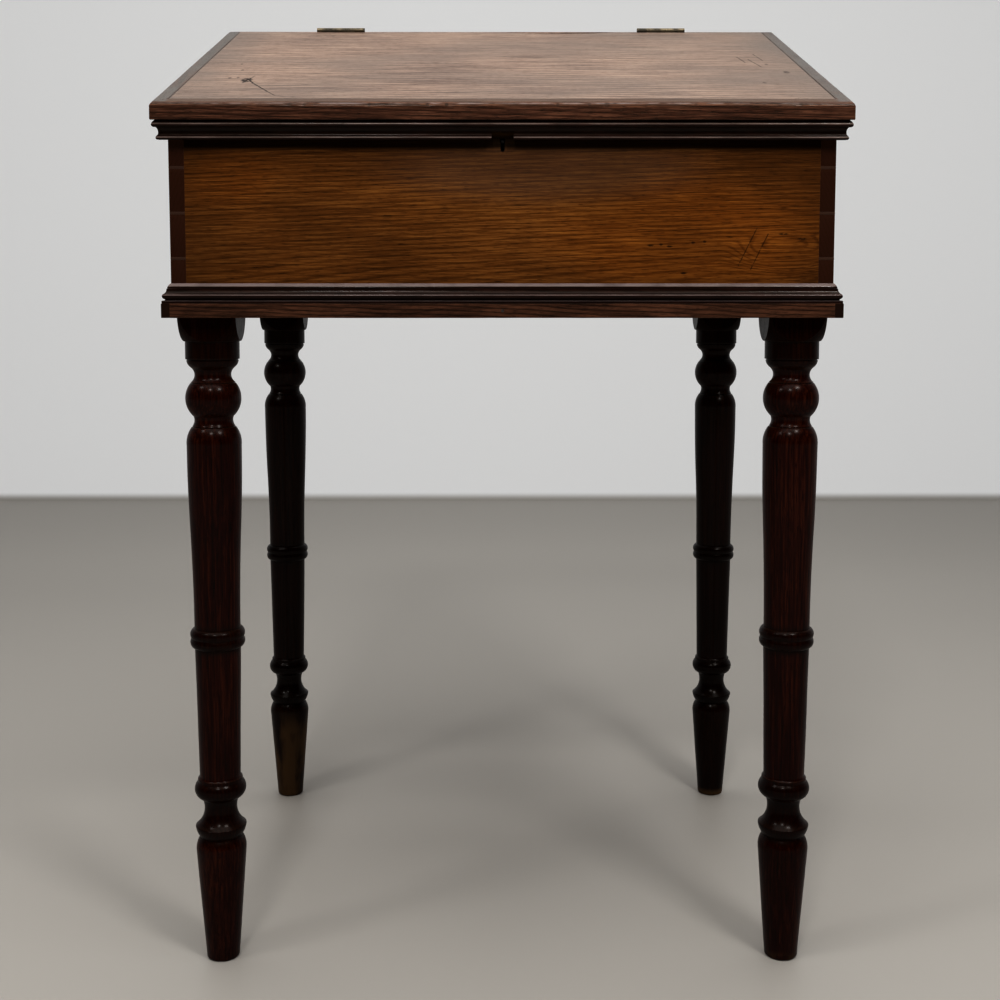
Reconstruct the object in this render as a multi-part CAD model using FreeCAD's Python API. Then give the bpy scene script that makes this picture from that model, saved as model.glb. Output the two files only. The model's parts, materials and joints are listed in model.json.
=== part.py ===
import FreeCAD, Part
import math
import os

# A clerk's standing desk: a dovetailed oak case on four turned legs, with a sloping lid
# hinged to a fixed flat ledge, and a small link lock in the front board.
# Sizes are millimetres. +Z is up, the front faces -Y, and the origin is on the floor,
# under the middle of the desk's outer box.

# ---- driving dimensions ----

# case
case_width = 700.0
case_depth = 565.0
leg_height = 719.0              # floor to the underside of the bottom boards
front_height = 194.6            # outer face of the front board
side_thickness = 16.0
front_thickness = 18.0
back_thickness = 16.0
bottom_thickness = 15.0
bottom_board_names = ["front", "middle", "back"]
bottom_board_gap = 0.4          # shrinkage gap between the bottom boards

# dovetails
dovetail_pitch = 47.4
pin_tip_width = 3.0             # width of a pin at the outer face
dovetail_run = 7.0              # a dovetail slopes one in this many

# lid and ledge
lid_slope = 20.0                # degrees
lid_plan_depth = 421.0          # front edge of the lid to the hinge joint, on plan
top_thickness = 17.0            # lid, measured square to its face
top_overhang = 15.3
lid_rest_gap = 0.3
joint_gap = 1.0                 # between the lid and the ledge
edging_width = 16.0
edging_arris = 3.0              # rounded top edge
edging_under_arris = 1.2

# moulding under the lid and the ledge, from its top down
lid_moulding_gap = 1.0          # clear of the case
lid_quirk_height = 3.0
lid_quirk_projection = 12.0
lid_bead_height = 6.0
lid_bead_swell = 2.0
lid_cove_height = 4.8
lid_cove_projection = 9.6
lid_cove_swell = 0.8
lid_foot_bead_height = 8.6
lid_foot_bead_swell = 1.9
lid_foot_projection = 7.4
key_notch_width = 23.0
key_notch_height = 8.6

# fascia round the bottom boards, and the moulding that stands on it
fascia_thickness = 9.0
base_foot_height = 1.0
base_foot_projection = 8.4
base_cove_height = 3.4
base_cove_projection = 6.4
base_cove_swell = 0.5
base_bead_height = 7.2
base_bead_projection = 7.0
base_bead_swell = 1.5
base_slope_height = 3.3
base_slope_projection = 4.6
base_slope_swell = 0.4
base_top_height = 6.3
base_top_projection = 2.6
base_top_swell = 1.3
base_top_rise = 0.3

# legs: square block at the head
leg_inset = 35.0                # leg axis in from the faces of the case
leg_square = 62.0
pommel_height = 25.5
pommel_top_radius = 42.3
pommel_foot_radius = 30.8
pommel_swell = 1.75
# legs: turning, from the head down
collar_height = 19.5
collar_radius = 29.0
collar_groove_height = 1.4
collar_groove_radius = 27.2
ogee_height = 7.6
ogee_top_radius = 27.9
ogee_foot_radius = 23.5
ogee_swell = 0.9
neck_height = 16.4
neck_foot_radius = 24.0
neck_hollow = 4.2
quirk_height = 0.8
quirk_depth = 0.9
ball_height = 36.2
ball_top_radius = 24.3
ball_foot_radius = 21.3
ball_swell = 7.1
throat_height = 10.9
throat_foot_radius = 23.0
throat_hollow = 1.4
shoulder_height = 20.0
shoulder_top_radius = 23.8
shaft_head_radius = 29.5
shoulder_swell = 1.9
shaft_swell_height = 102.0
shaft_middle_radius = 27.0
shaft_swell = 0.6
shaft_waist_radius = 24.9
shaft_hollow = 0.45
band_bead_height = 10.7
band_edge_radius = 26.2
band_groove_radius = 28.2
band_swell = 2.4
lower_shaft_height = 145.0
lower_shaft_foot_radius = 22.3
fillet_cove_height = 3.4
fillet_height = 3.4
fillet_radius = 24.4
fillet_hollow = 0.6
ring_height = 19.8
ring_foot_radius = 20.2
ring_swell = 5.7
flare_height = 30.6
flare_hollow = 5.6
rim_height = 1.2
rim_radius = 27.8
rim_under_height = 11.4
rim_under_swell = 0.8
foot_waist_radius = 23.0
foot_shoulder_height = 16.5
foot_shoulder_swell = 1.6
foot_head_radius = 27.4
foot_taper_height = 121.5
foot_tip_height = 3.0
foot_tip_radius = 18.2
foot_tip_swell = 0.8
foot_rest_radius = 15.5
# legs: round tenon through the bottom boards into a corner block
tenon_radius = 13.0
tenon_clearance = 0.15
corner_block_size = 52.0
corner_block_height = 45.0

# butt hinges
hinge_inset = 136.0             # middle of a hinge in from the side of the case
hinge_length = 63.5
hinge_leaf_height = 14.0
hinge_leaf_thickness = 1.5
hinge_knuckles = 5
hinge_knuckle_radius = 3.0
hinge_knuckle_rise = 1.8        # hinge axis above the ledge's top
hinge_running_gap = 0.3
hinge_knuckle_end_gap = 0.2
hinge_pin_radius = 1.2
hinge_pin_clearance = 0.05
hinge_screws = 3
hinge_screw_pitch = 22.0
hinge_screw_drop = 8.6          # screw line below the ledge's top
hinge_screw_length = 12.0

# screws and nails
screw_head_radius = 3.0
screw_radius = 1.5
screw_point = 3.0
fastener_clearance = 0.05
nail_radius = 0.9
nail_head_radius = 1.7
nail_head_height = 0.7
nail_length = 32.0
fascia_nail_margin = 3.0        # fascia nails stop this short of the tenons
nail_spacing = 150.0
nail_end_margin = 30.0

# link lock in the front board
key_drop = 24.6                 # keyhole centre below the front board's outer top edge
keyhole_radius = 2.8
keyhole_slot_width = 3.9
keyhole_slot_drop = 11.5
lock_plate_thickness = 1.5
lock_plate_width = 68.0
lock_plate_drop = 46.0
lock_top_plate_inset = 5.0      # wood left in front of the top plate
lock_cap_width = 52.0
lock_cap_depth = 10.0
lock_cap_wall = 1.2
lock_cap_top_gap = 1.4          # below the top plate
lock_cap_foot_drop = 19.0       # below the keyhole centre
lock_play = 0.1
bolt_thickness = 2.4
bolt_height = 8.0
bolt_rise = 4.0                 # bolt's lower edge above the keyhole centre
bolt_travel = 6.0
bolt_notch_radius = 3.5
hook_width = 3.0
finger_radius = 1.2
finger_length = 5.6
finger_gap = 0.8                # finger tip short of the staple, unlocked
staple_spacing = 26.0
staple_thickness = 2.0
staple_width = 4.8
staple_drop = 11.0              # staple's end below the seat of the lid
staple_window_drop = 8.0        # middle of the staple's window below the seat
staple_window_width = 3.2
staple_window_height = 4.2
staple_inset = 4.2              # window centre in front of the lock's back plate
staple_slot_gap = 0.9
keeper_width = 62.0
keeper_depth = 14.0
keeper_thickness = 1.5
key_pin_radius = 1.5
spring_stud_radius = 1.0
spring_stud_x = -5.9            # between the bolt's two hooks
spring_thickness = 0.5
spring_width = 2.4
spring_rise = 2.0
spring_length = 15.0
lock_screw_length = 9.0
lock_screw_inset = 4.2
keeper_screw_inset = 5.0
keeper_screw_length = 9.0

# ---- places worked out from the driving dimensions ----

half_width = case_width / 2
back_y = (case_depth + top_overhang) / 2
face_y = back_y - case_depth
inner_front_y = face_y + front_thickness
inner_back_y = back_y - back_thickness
inner_side_x = half_width - side_thickness
floor_z = leg_height + bottom_thickness          # floor of the case
slope_rise = math.tan(math.radians(lid_slope))
slope_cos = math.cos(math.radians(lid_slope))
joint_y = face_y - top_overhang + lid_plan_depth
top_height = top_thickness / slope_cos           # lid, measured upright


def seat(y):
    # height of the case's sloping top edge
    return floor_z + front_height + (y - face_y) * slope_rise


def lid_underside(y):
    return seat(y) + lid_rest_gap / slope_cos


ledge_under_z = lid_underside(joint_y)
ledge_top_z = ledge_under_z + top_height
hinge_axis_z = ledge_top_z + hinge_knuckle_rise
sky = ledge_top_z + leg_height                   # higher than anything else

parts = {}


# ---- helpers ----

def vec(x, y, z):
    return FreeCAD.Vector(x, y, z)


def box(x0, x1, y0, y1, z0, z1):
    return Part.makeBox(x1 - x0, y1 - y0, z1 - z0, vec(x0, y0, z0))


def rod(start, end, radius):
    return Part.makeCylinder(radius, (end - start).Length, start, end - start)


def face_of(steps, place):
    # steps are (u, v), or (u, v, swell) where the edge that ends there is an arc
    # that swells to the left of its own direction, and the outline closes itself
    edges = []
    last = steps[0]
    for step in steps[1:] + steps[:1]:
        start = place(last[0], last[1])
        end = place(step[0], step[1])
        if len(step) == 3:
            run = math.hypot(step[0] - last[0], step[1] - last[1])
            side_u = (last[1] - step[1]) / run * step[2]
            side_v = (step[0] - last[0]) / run * step[2]
            middle = place((last[0] + step[0]) / 2 + side_u, (last[1] + step[1]) / 2 + side_v)
            edges.append(Part.Arc(start, middle, end).toShape())
        else:
            edges.append(Part.makeLine(start, end))
        last = step[:2]
    return Part.Face(Part.Wire(edges))


def plate_across(outline, x0, x1):
    # a side view outline of (y, z) points, extruded from x0 to x1
    return face_of(outline, lambda y, z: vec(x0, y, z)).extrude(vec(x1 - x0, 0, 0))


def plan_prism(points):
    return face_of(points, lambda x, y: vec(x, y, 0)).extrude(vec(0, 0, sky))


def front_run(profile, height, inner, outer):
    # a strip along the front, its profile (u, v) standing out from the case by u at
    # height(y) + v, mitred at both ends
    reach = half_width + outer
    face = face_of(profile, lambda u, v: vec(-reach, face_y - u, height(face_y - u) + v))
    mitres = plan_prism([(-half_width - inner, face_y - inner), (half_width + inner, face_y - inner),
                         (half_width + outer, face_y - outer), (-half_width - outer, face_y - outer)])
    return face.extrude(vec(2 * reach, 0, 0)).common(mitres)


def side_run(side, profile, height, start_y, end_y):
    # a strip along one side (side is -1 or 1), from start_y back to end_y
    face = face_of(profile, lambda u, v: vec(side * (half_width + u), start_y, height(start_y) + v))
    return face.extrude(vec(0, end_y - start_y, height(end_y) - height(start_y)))


def mitred_side_run(side, profile, height, inner, outer, end_y):
    strip = side_run(side, profile, height, face_y - outer, end_y)
    return strip.common(plan_prism([(side * (half_width + inner), face_y - inner),
                                    (side * (half_width + outer), face_y - outer),
                                    (side * (half_width + outer), end_y),
                                    (side * (half_width + inner), end_y)]))


def screw(head, direction, length, clearance=0.0):
    # countersunk wood screw with a plain shank and a point
    along = vec(*direction)
    grip = screw_radius + clearance
    cone_height = screw_head_radius - screw_radius
    cone = Part.makeCone(screw_head_radius + clearance, grip, cone_height, head, along)
    shank = rod(head, head + along * (length - screw_point), grip)
    point_start = head + along * (length - screw_point)
    point = Part.makeCone(grip, grip / 4, screw_point, point_start, along)
    return cone.fuse([shank, point])


def nail(head, direction, length, clearance=0.0):
    along = vec(*direction)
    shank = rod(head, head + along * length, nail_radius + clearance)
    disc = rod(head, head + along * nail_head_height, nail_head_radius + clearance)
    return shank.fuse(disc)


def drive(group, maker, places, length, names):
    # put fasteners at (head, direction) places and cut their holes in the named parts
    parts[group] = Part.makeCompound([maker(head, along, length) for head, along in places])
    holes = Part.makeCompound([maker(head, along, length, fastener_clearance) for head, along in places])
    for name in names:
        parts[name] = parts[name].cut(holes)


def spread(start, end, spacing):
    # evenly spaced places from start to end, about a spacing apart
    count = max(1, round((end - start) / spacing))
    return [start + (end - start) * step / count for step in range(count + 1)]


# ---- case ----

def dovetail_levels(height):
    # pin centres up a corner that is this high
    count = int((height - dovetail_pitch / 2) / dovetail_pitch)
    return [floor_z + dovetail_pitch * (step + 1) for step in range(count)]


def pins(levels, outer_y, inner_y, x0, x1):
    # dovetail pins, narrow at the outer face and wide at the inner one
    tip = pin_tip_width / 2
    root = tip + abs(inner_y - outer_y) / dovetail_run
    solids = []
    for level in levels:
        outline = [(outer_y, level - tip), (inner_y, level - root),
                   (inner_y, level + root), (outer_y, level + tip)]
        solids.append(plate_across(outline, x0, x1))
    return Part.makeCompound(solids)


def case():
    front_levels = dovetail_levels(front_height)
    back_levels = dovetail_levels(ledge_under_z - floor_z)

    front_outline = [(face_y, floor_z), (inner_front_y, floor_z),
                     (inner_front_y, seat(inner_front_y)), (face_y, seat(face_y))]
    front = plate_across(front_outline, -inner_side_x, inner_side_x)
    back = box(-inner_side_x, inner_side_x, inner_back_y, back_y, floor_z, ledge_under_z)
    side_outline = [(face_y, floor_z), (back_y, floor_z), (back_y, ledge_under_z),
                    (joint_y, ledge_under_z), (joint_y, seat(joint_y)), (face_y, seat(face_y))]

    for side, name in ((-1, "left"), (1, "right")):
        inner = side * inner_side_x
        outer = side * half_width
        front_pins = pins(front_levels, face_y, inner_front_y, inner, outer)
        back_pins = pins(back_levels, back_y, inner_back_y, inner, outer)
        board = plate_across(side_outline, inner, outer)
        parts[name + "_side_board"] = board.cut(front_pins).cut(back_pins)
        front = front.fuse(front_pins.Solids)
        back = back.fuse(back_pins.Solids)
    parts["front_board"] = front.removeSplitter()
    parts["back_board"] = back.removeSplitter()


def bottom_boards():
    board_depth = case_depth / len(bottom_board_names)
    for step, name in enumerate(bottom_board_names):
        start = face_y + board_depth * step
        front_edge = start + (bottom_board_gap / 2 if step > 0 else 0)
        back_edge = start + board_depth
        if step < len(bottom_board_names) - 1:
            back_edge -= bottom_board_gap / 2
        parts["bottom_board_" + name] = box(-half_width, half_width, front_edge, back_edge,
                                            leg_height, floor_z)


# ---- fascia and base moulding ----

def fascia():
    parts["base_fascia_front"] = box(-half_width, half_width, face_y - fascia_thickness, face_y,
                                     leg_height, floor_z)
    for side, name in ((-1, "left"), (1, "right")):
        edges = sorted((side * half_width, side * (half_width + fascia_thickness)))
        parts["base_fascia_" + name] = box(edges[0], edges[1], face_y - fascia_thickness, back_y,
                                           leg_height, floor_z)


def base_moulding():
    cove_v = base_foot_height + base_cove_height
    bead_v = cove_v + base_bead_height
    slope_v = bead_v + base_slope_height
    top_v = slope_v + base_top_height
    profile = [(0, top_v + base_top_rise), (base_top_projection, top_v),
               (base_slope_projection, slope_v, base_top_swell),
               (base_bead_projection, bead_v, -base_slope_swell),
               (base_cove_projection, cove_v, base_bead_swell),
               (base_foot_projection, base_foot_height, -base_cove_swell),
               (base_foot_projection, 0), (0, 0)]

    def height(y):
        return floor_z

    parts["base_moulding_front"] = front_run(profile, height, 0, fascia_thickness)
    for side, name in ((-1, "left"), (1, "right")):
        parts["base_moulding_" + name] = mitred_side_run(side, profile, height, 0,
                                                         fascia_thickness, back_y)


# ---- legs ----

def leg_steps():
    # the turned outline from the head down, as (radius, height) steps
    steps = [(0, leg_height)]

    def go(height, radius, swell=0.0):
        z = steps[-1][1] - height
        steps.append((radius, z, swell) if swell else (radius, z))

    go(0, pommel_top_radius)
    go(pommel_height, pommel_foot_radius, pommel_swell)
    go(0, collar_radius)
    go(collar_height, collar_radius)
    go(0, collar_groove_radius)
    go(collar_groove_height, collar_groove_radius)
    go(0, ogee_top_radius)
    go(ogee_height, ogee_foot_radius, ogee_swell)
    go(neck_height, neck_foot_radius, -neck_hollow)
    go(0, neck_foot_radius - quirk_depth)
    go(quirk_height, neck_foot_radius - quirk_depth)
    go(0, ball_top_radius)
    go(ball_height, ball_foot_radius, ball_swell)
    go(throat_height, throat_foot_radius, -throat_hollow)
    go(0, throat_foot_radius - quirk_depth)
    go(quirk_height, throat_foot_radius - quirk_depth)
    go(0, shoulder_top_radius)
    go(shoulder_height, shaft_head_radius, shoulder_swell)
    go(shaft_swell_height, shaft_middle_radius, shaft_swell)
    # the upper shaft's taper takes what the members below it leave
    below = (2 * band_bead_height + lower_shaft_height + fillet_cove_height + fillet_height
             + ring_height + flare_height + rim_height + rim_under_height
             + foot_shoulder_height + foot_taper_height + foot_tip_height)
    go(steps[-1][1] - below, shaft_waist_radius, -shaft_hollow)
    go(0, band_edge_radius)
    go(band_bead_height, band_groove_radius, band_swell)
    go(band_bead_height, band_edge_radius, band_swell)
    go(0, shaft_waist_radius)
    go(lower_shaft_height, lower_shaft_foot_radius)
    go(fillet_cove_height, fillet_radius, -fillet_hollow)
    go(fillet_height, fillet_radius)
    go(ring_height, ring_foot_radius, ring_swell)
    go(flare_height, rim_radius, -flare_hollow)
    go(rim_height, rim_radius)
    go(rim_under_height, foot_waist_radius, rim_under_swell)
    go(foot_shoulder_height, foot_head_radius, foot_shoulder_swell)
    go(foot_taper_height, foot_tip_radius)
    go(foot_tip_height, foot_rest_radius, foot_tip_swell)
    go(0, 0)
    return steps


def legs():
    face = face_of(leg_steps(), lambda r, z: vec(r, 0, z))
    turned = face.revolve(vec(0, 0, 0), vec(0, 0, 1), 360)
    half = leg_square / 2
    leg = turned.common(box(-half, half, -half, half, 0, leg_height))
    tenon_top = floor_z + corner_block_height
    leg = leg.fuse(rod(vec(0, 0, leg_height), vec(0, 0, tenon_top), tenon_radius)).removeSplitter()
    hole = rod(vec(0, 0, leg_height), vec(0, 0, tenon_top), tenon_radius + tenon_clearance)

    for y, inner_y, row in ((face_y + leg_inset, inner_front_y, "front"),
                            (back_y - leg_inset, inner_back_y, "back")):
        inward_y = 1 if row == "front" else -1
        for side, name in ((-1, "left"), (1, "right")):
            place = vec(side * (half_width - leg_inset), y, 0)
            here = hole.translated(place)
            xs = sorted((side * inner_side_x, side * (inner_side_x - corner_block_size)))
            ys = sorted((inner_y, inner_y + inward_y * corner_block_size))
            block = box(xs[0], xs[1], ys[0], ys[1], floor_z, tenon_top)
            parts["leg_" + row + "_" + name] = leg.translated(place)
            parts["corner_block_" + row + "_" + name] = block.cut(here)
            parts["bottom_board_" + row] = parts["bottom_board_" + row].cut(here)


# ---- lid and ledge ----

def edging_profile():
    inner = top_overhang - edging_width
    return [(inner, top_height), (top_overhang - edging_arris, top_height),
            (top_overhang, top_height - edging_arris, edging_arris * (1 - math.sqrt(0.5))),
            (top_overhang, edging_under_arris),
            (top_overhang - edging_under_arris, 0, edging_under_arris * (1 - math.sqrt(0.5))),
            (inner, 0)]


def lid_moulding_profile():
    bead_v = -lid_quirk_height - lid_bead_height
    cove_v = bead_v - lid_cove_height
    foot_v = cove_v - lid_foot_bead_height
    return [(lid_moulding_gap, 0), (lid_quirk_projection, 0),
            (lid_quirk_projection, -lid_quirk_height),
            (lid_quirk_projection, bead_v, lid_bead_swell),
            (lid_cove_projection, cove_v, -lid_cove_swell),
            (lid_foot_projection, foot_v, lid_foot_bead_swell),
            (lid_moulding_gap, foot_v)]


def lid():
    lid_back_y = joint_y - joint_gap / 2
    inner = top_overhang - edging_width
    start_y = face_y - inner
    reach = half_width + inner
    outline = [(start_y, lid_underside(start_y)), (lid_back_y, lid_underside(lid_back_y)),
               (lid_back_y, lid_underside(lid_back_y) + top_height),
               (start_y, lid_underside(start_y) + top_height)]
    parts["lid_board"] = plate_across(outline, -reach, reach)
    parts["lid_edging_front"] = front_run(edging_profile(), lid_underside, inner, top_overhang)

    profile = lid_moulding_profile()
    front = front_run(profile, lid_underside, lid_moulding_gap, top_overhang)
    notch_foot = lid_underside(face_y) + profile[-1][1] - top_overhang
    notch_top = lid_underside(face_y - lid_foot_projection) + profile[-1][1] + key_notch_height
    notch = box(-key_notch_width / 2, key_notch_width / 2, face_y - top_overhang, face_y,
                notch_foot, notch_top)
    parts["lid_moulding_front"] = front.cut(notch)

    for side, name in ((-1, "left"), (1, "right")):
        parts["lid_edging_" + name] = mitred_side_run(side, edging_profile(), lid_underside,
                                                      inner, top_overhang, lid_back_y)
        parts["lid_moulding_" + name] = mitred_side_run(side, profile, lid_underside,
                                                        lid_moulding_gap, top_overhang, lid_back_y)


def ledge():
    front_edge_y = joint_y + joint_gap / 2
    reach = half_width + top_overhang - edging_width
    # the ledge's mouldings are glued to the case, so theirs has no gap
    profile = [(0 if u == lid_moulding_gap else u, *rest) for u, *rest in lid_moulding_profile()]

    def height(y):
        return ledge_under_z

    parts["top_ledge"] = box(-reach, reach, front_edge_y, back_y, ledge_under_z, ledge_top_z)
    for side, name in ((-1, "left"), (1, "right")):
        parts["ledge_edging_" + name] = side_run(side, edging_profile(), height, front_edge_y, back_y)
        parts["ledge_moulding_" + name] = side_run(side, profile, height, front_edge_y, back_y)


# ---- hinges ----

def knuckle_spans(centre, owner):
    # the x spans of the knuckles that belong to one leaf: owner 0 is fixed, 1 is the lid's
    width = hinge_length / hinge_knuckles
    start = centre - hinge_length / 2
    return [(start + width * step, start + width * (step + 1))
            for step in range(hinge_knuckles) if step % 2 == owner]


def barrel(x0, x1, radius):
    return rod(vec(x0, joint_y, hinge_axis_z), vec(x1, joint_y, hinge_axis_z), radius)


def leaf(centre, owner):
    face = joint_gap / 2
    deep = face + hinge_leaf_thickness
    ys = (joint_y + face, joint_y + deep) if owner == 0 else (joint_y - deep, joint_y - face)
    plate = box(centre - hinge_length / 2, centre + hinge_length / 2, ys[0], ys[1],
                ledge_top_z - hinge_leaf_height, hinge_axis_z)
    others = [barrel(x0, x1, hinge_knuckle_radius + hinge_running_gap)
              for x0, x1 in knuckle_spans(centre, 1 - owner)]
    own = [barrel(x0 + hinge_knuckle_end_gap / 2, x1 - hinge_knuckle_end_gap / 2, hinge_knuckle_radius)
           for x0, x1 in knuckle_spans(centre, owner)]
    bore = barrel(centre - hinge_length, centre + hinge_length, hinge_pin_radius + hinge_pin_clearance)
    return plate.cut(Part.makeCompound(others)).fuse(own).cut(bore).removeSplitter()


def hinges():
    fixed_screws = []
    lid_screws = []
    recess_back = joint_gap / 2 + hinge_leaf_thickness
    for side, name in ((-1, "left"), (1, "right")):
        centre = side * (half_width - hinge_inset)
        x0 = centre - hinge_length / 2
        x1 = centre + hinge_length / 2
        parts["hinge_" + name + "_fixed_leaf"] = leaf(centre, 0)
        parts["hinge_" + name + "_lid_leaf"] = leaf(centre, 1)
        parts["hinge_" + name + "_pin"] = barrel(x0, x1, hinge_pin_radius)

        # both boards are let in for the leaf, with a groove for the knuckles
        hollow = hinge_knuckle_radius + hinge_running_gap
        room = box(x0, x1, joint_y - hollow, joint_y + hollow, hinge_axis_z - hollow, sky)
        recess = box(x0, x1, joint_y - recess_back, joint_y + recess_back,
                     ledge_top_z - hinge_leaf_height, sky)
        for board in ("top_ledge", "lid_board"):
            parts[board] = parts[board].cut(recess).cut(room)

        screw_z = ledge_top_z - hinge_screw_drop
        for step in range(hinge_screws):
            x = centre + (step - (hinge_screws - 1) / 2) * hinge_screw_pitch
            fixed_screws.append((vec(x, joint_y + joint_gap / 2, screw_z), (0, 1, 0)))
            lid_screws.append((vec(x, joint_y - joint_gap / 2, screw_z), (0, -1, 0)))
    drive("hinge_screws_ledge", screw, fixed_screws, hinge_screw_length,
          ["top_ledge", "hinge_left_fixed_leaf", "hinge_right_fixed_leaf"])
    drive("hinge_screws_lid", screw, lid_screws, hinge_screw_length,
          ["lid_board", "hinge_left_lid_leaf", "hinge_right_lid_leaf"])


# ---- lock ----

key_z = seat(face_y) - key_drop
plate_y = inner_front_y - lock_plate_thickness           # front of the lock's back plate
window_y = plate_y - staple_inset
bolt_y = plate_y - lock_play - bolt_thickness
bolt_z = key_z + bolt_rise
# the staples stand square to the lid, so their root lies forward of the window
staple_root_y = window_y - staple_window_drop * math.sin(math.radians(lid_slope))
staple_root_z = seat(staple_root_y)
window_z = staple_root_z - staple_window_drop * slope_cos


def on_slope(shape):
    # from upright at the origin to square with the lid at the staples' root
    turned = shape.rotated(vec(0, 0, 0), vec(1, 0, 0), lid_slope)
    return turned.translated(vec(0, staple_root_y, staple_root_z))


def lock_plate_blank():
    top_front_y = face_y + lock_top_plate_inset
    lean_y = lock_plate_thickness * math.sin(math.radians(lid_slope))
    lean_z = lock_plate_thickness * slope_cos
    foot_z = seat(face_y) - lock_plate_drop
    outline = [(inner_front_y, foot_z), (inner_front_y, seat(inner_front_y)),
               (top_front_y, seat(top_front_y)), (top_front_y + lean_y, seat(top_front_y) - lean_z),
               (plate_y, seat(plate_y) - lock_plate_thickness / slope_cos), (plate_y, foot_z)]
    return plate_across(outline, -lock_plate_width / 2, lock_plate_width / 2)


def keyhole(y0, y1):
    slot_end = key_z - keyhole_slot_drop + keyhole_slot_width / 2
    half = keyhole_slot_width / 2
    eye = rod(vec(0, y0, key_z), vec(0, y1, key_z), keyhole_radius)
    end = rod(vec(0, y0, slot_end), vec(0, y1, slot_end), half)
    return eye.fuse([end, box(-half, half, y0, y1, slot_end, key_z)])


def lock_body():
    cap_y = plate_y - lock_cap_depth
    cap_half = lock_cap_width / 2
    cap_foot = key_z - lock_cap_foot_drop
    cap_top = seat(cap_y) - lock_plate_thickness / slope_cos - lock_cap_top_gap
    cap = box(-cap_half, cap_half, cap_y, plate_y, cap_foot, cap_top)
    hollow = box(-cap_half + lock_cap_wall, cap_half - lock_cap_wall, cap_y + lock_cap_wall, plate_y,
                 cap_foot + lock_cap_wall, sky)
    parts["lock_cap"] = cap.cut(hollow).cut(keyhole(cap_y, plate_y))

    # mortise in the front board for the cap, its plate and the key
    mortise = box(-cap_half, cap_half, cap_y, plate_y, cap_foot, sky)
    board = parts["front_board"].cut(mortise).cut(lock_plate_blank())
    parts["front_board"] = board.cut(keyhole(face_y, plate_y))

    slots = []
    for side in (-1, 1):
        middle = side * staple_spacing / 2
        half_x = staple_thickness / 2 + staple_slot_gap
        half_y = staple_width / 2 + staple_slot_gap
        slots.append(on_slope(box(middle - half_x, middle + half_x, -half_y, half_y,
                                  -3 * lock_plate_thickness, lock_plate_thickness)))
    plate = lock_plate_blank().cut(Part.makeCompound(slots))

    # the key turns on a pin, and a stud holds the bolt's spring down
    parts["lock_key_pin"] = rod(vec(0, inner_front_y, key_z), vec(0, cap_y + lock_cap_wall, key_z),
                                key_pin_radius)
    stud_z = bolt_z + bolt_height + lock_play + spring_thickness + spring_rise + spring_stud_radius
    stud = rod(vec(spring_stud_x, plate_y, stud_z),
               vec(spring_stud_x, bolt_y - lock_play, stud_z), spring_stud_radius)
    parts["lock_plate"] = plate.cut(parts["lock_key_pin"]).fuse(stud).removeSplitter()

    arch_foot = bolt_z + bolt_height + lock_play
    left_x = spring_stud_x - spring_length / 2
    right_x = spring_stud_x + spring_length / 2
    arch = [(left_x, arch_foot, -spring_rise), (left_x, arch_foot + spring_thickness),
            (right_x, arch_foot + spring_thickness, spring_rise), (right_x, arch_foot)]
    face = face_of(arch, lambda x, z: vec(x, plate_y - lock_play, z))
    parts["lock_spring"] = face.extrude(vec(0, -spring_width, 0))


def lock_bolt():
    staple_left = [side * staple_spacing / 2 - staple_thickness / 2 for side in (-1, 1)]
    tips = [x - finger_gap for x in staple_left]
    roots = [tip - finger_length for tip in tips]
    bar = box(roots[0] - hook_width, roots[1], bolt_y, bolt_y + bolt_thickness,
              bolt_z, bolt_z + bolt_height)
    notch_x = -bolt_travel / 2
    notch = rod(vec(notch_x, bolt_y, bolt_z), vec(notch_x, bolt_y + bolt_thickness, bolt_z),
                bolt_notch_radius)
    pieces = []
    for root, tip in zip(roots, tips):
        pieces.append(box(root - hook_width, root, window_y - finger_radius, bolt_y + bolt_thickness,
                          bolt_z + bolt_height / 2, window_z + finger_radius))
        pieces.append(rod(vec(root - hook_width / 2, window_y, window_z), vec(tip, window_y, window_z),
                          finger_radius))
    parts["lock_bolt"] = bar.cut(notch).fuse(pieces).removeSplitter()


def keeper():
    # plate let into the lid's underside, with two staples
    foot = lid_rest_gap
    plate = box(-keeper_width / 2, keeper_width / 2, -keeper_depth / 2, keeper_depth / 2,
                foot, foot + keeper_thickness)
    staples = []
    windows = []
    for side in (-1, 1):
        middle = side * staple_spacing / 2
        staples.append(box(middle - staple_thickness / 2, middle + staple_thickness / 2,
                           -staple_width / 2, staple_width / 2, -staple_drop, foot))
        windows.append(box(middle - staple_thickness, middle + staple_thickness,
                           -staple_window_width / 2, staple_window_width / 2,
                           -staple_window_drop - staple_window_height / 2,
                           -staple_window_drop + staple_window_height / 2))
    parts["lid_board"] = parts["lid_board"].cut(on_slope(plate))
    shape = plate.fuse(staples).cut(Part.makeCompound(windows)).removeSplitter()
    parts["lock_keeper"] = on_slope(shape)


def lock_fasteners():
    x = lock_plate_width / 2 - lock_screw_inset
    low = seat(face_y) - lock_plate_drop + lock_screw_inset
    high = seat(face_y) - lock_screw_inset
    places = [(vec(side * x, inner_front_y, z), (0, -1, 0)) for side in (-1, 1) for z in (low, high)]
    drive("lock_screws", screw, places, lock_screw_length, ["lock_plate", "front_board"])

    x = keeper_width / 2 - keeper_screw_inset
    up = (0, -math.sin(math.radians(lid_slope)), slope_cos)
    places = [(on_slope(Part.Vertex(side * x, 0, lid_rest_gap)).Point, up) for side in (-1, 1)]
    drive("keeper_screws", screw, places, keeper_screw_length, ["lock_keeper", "lid_board"])


# ---- nails ----

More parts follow.
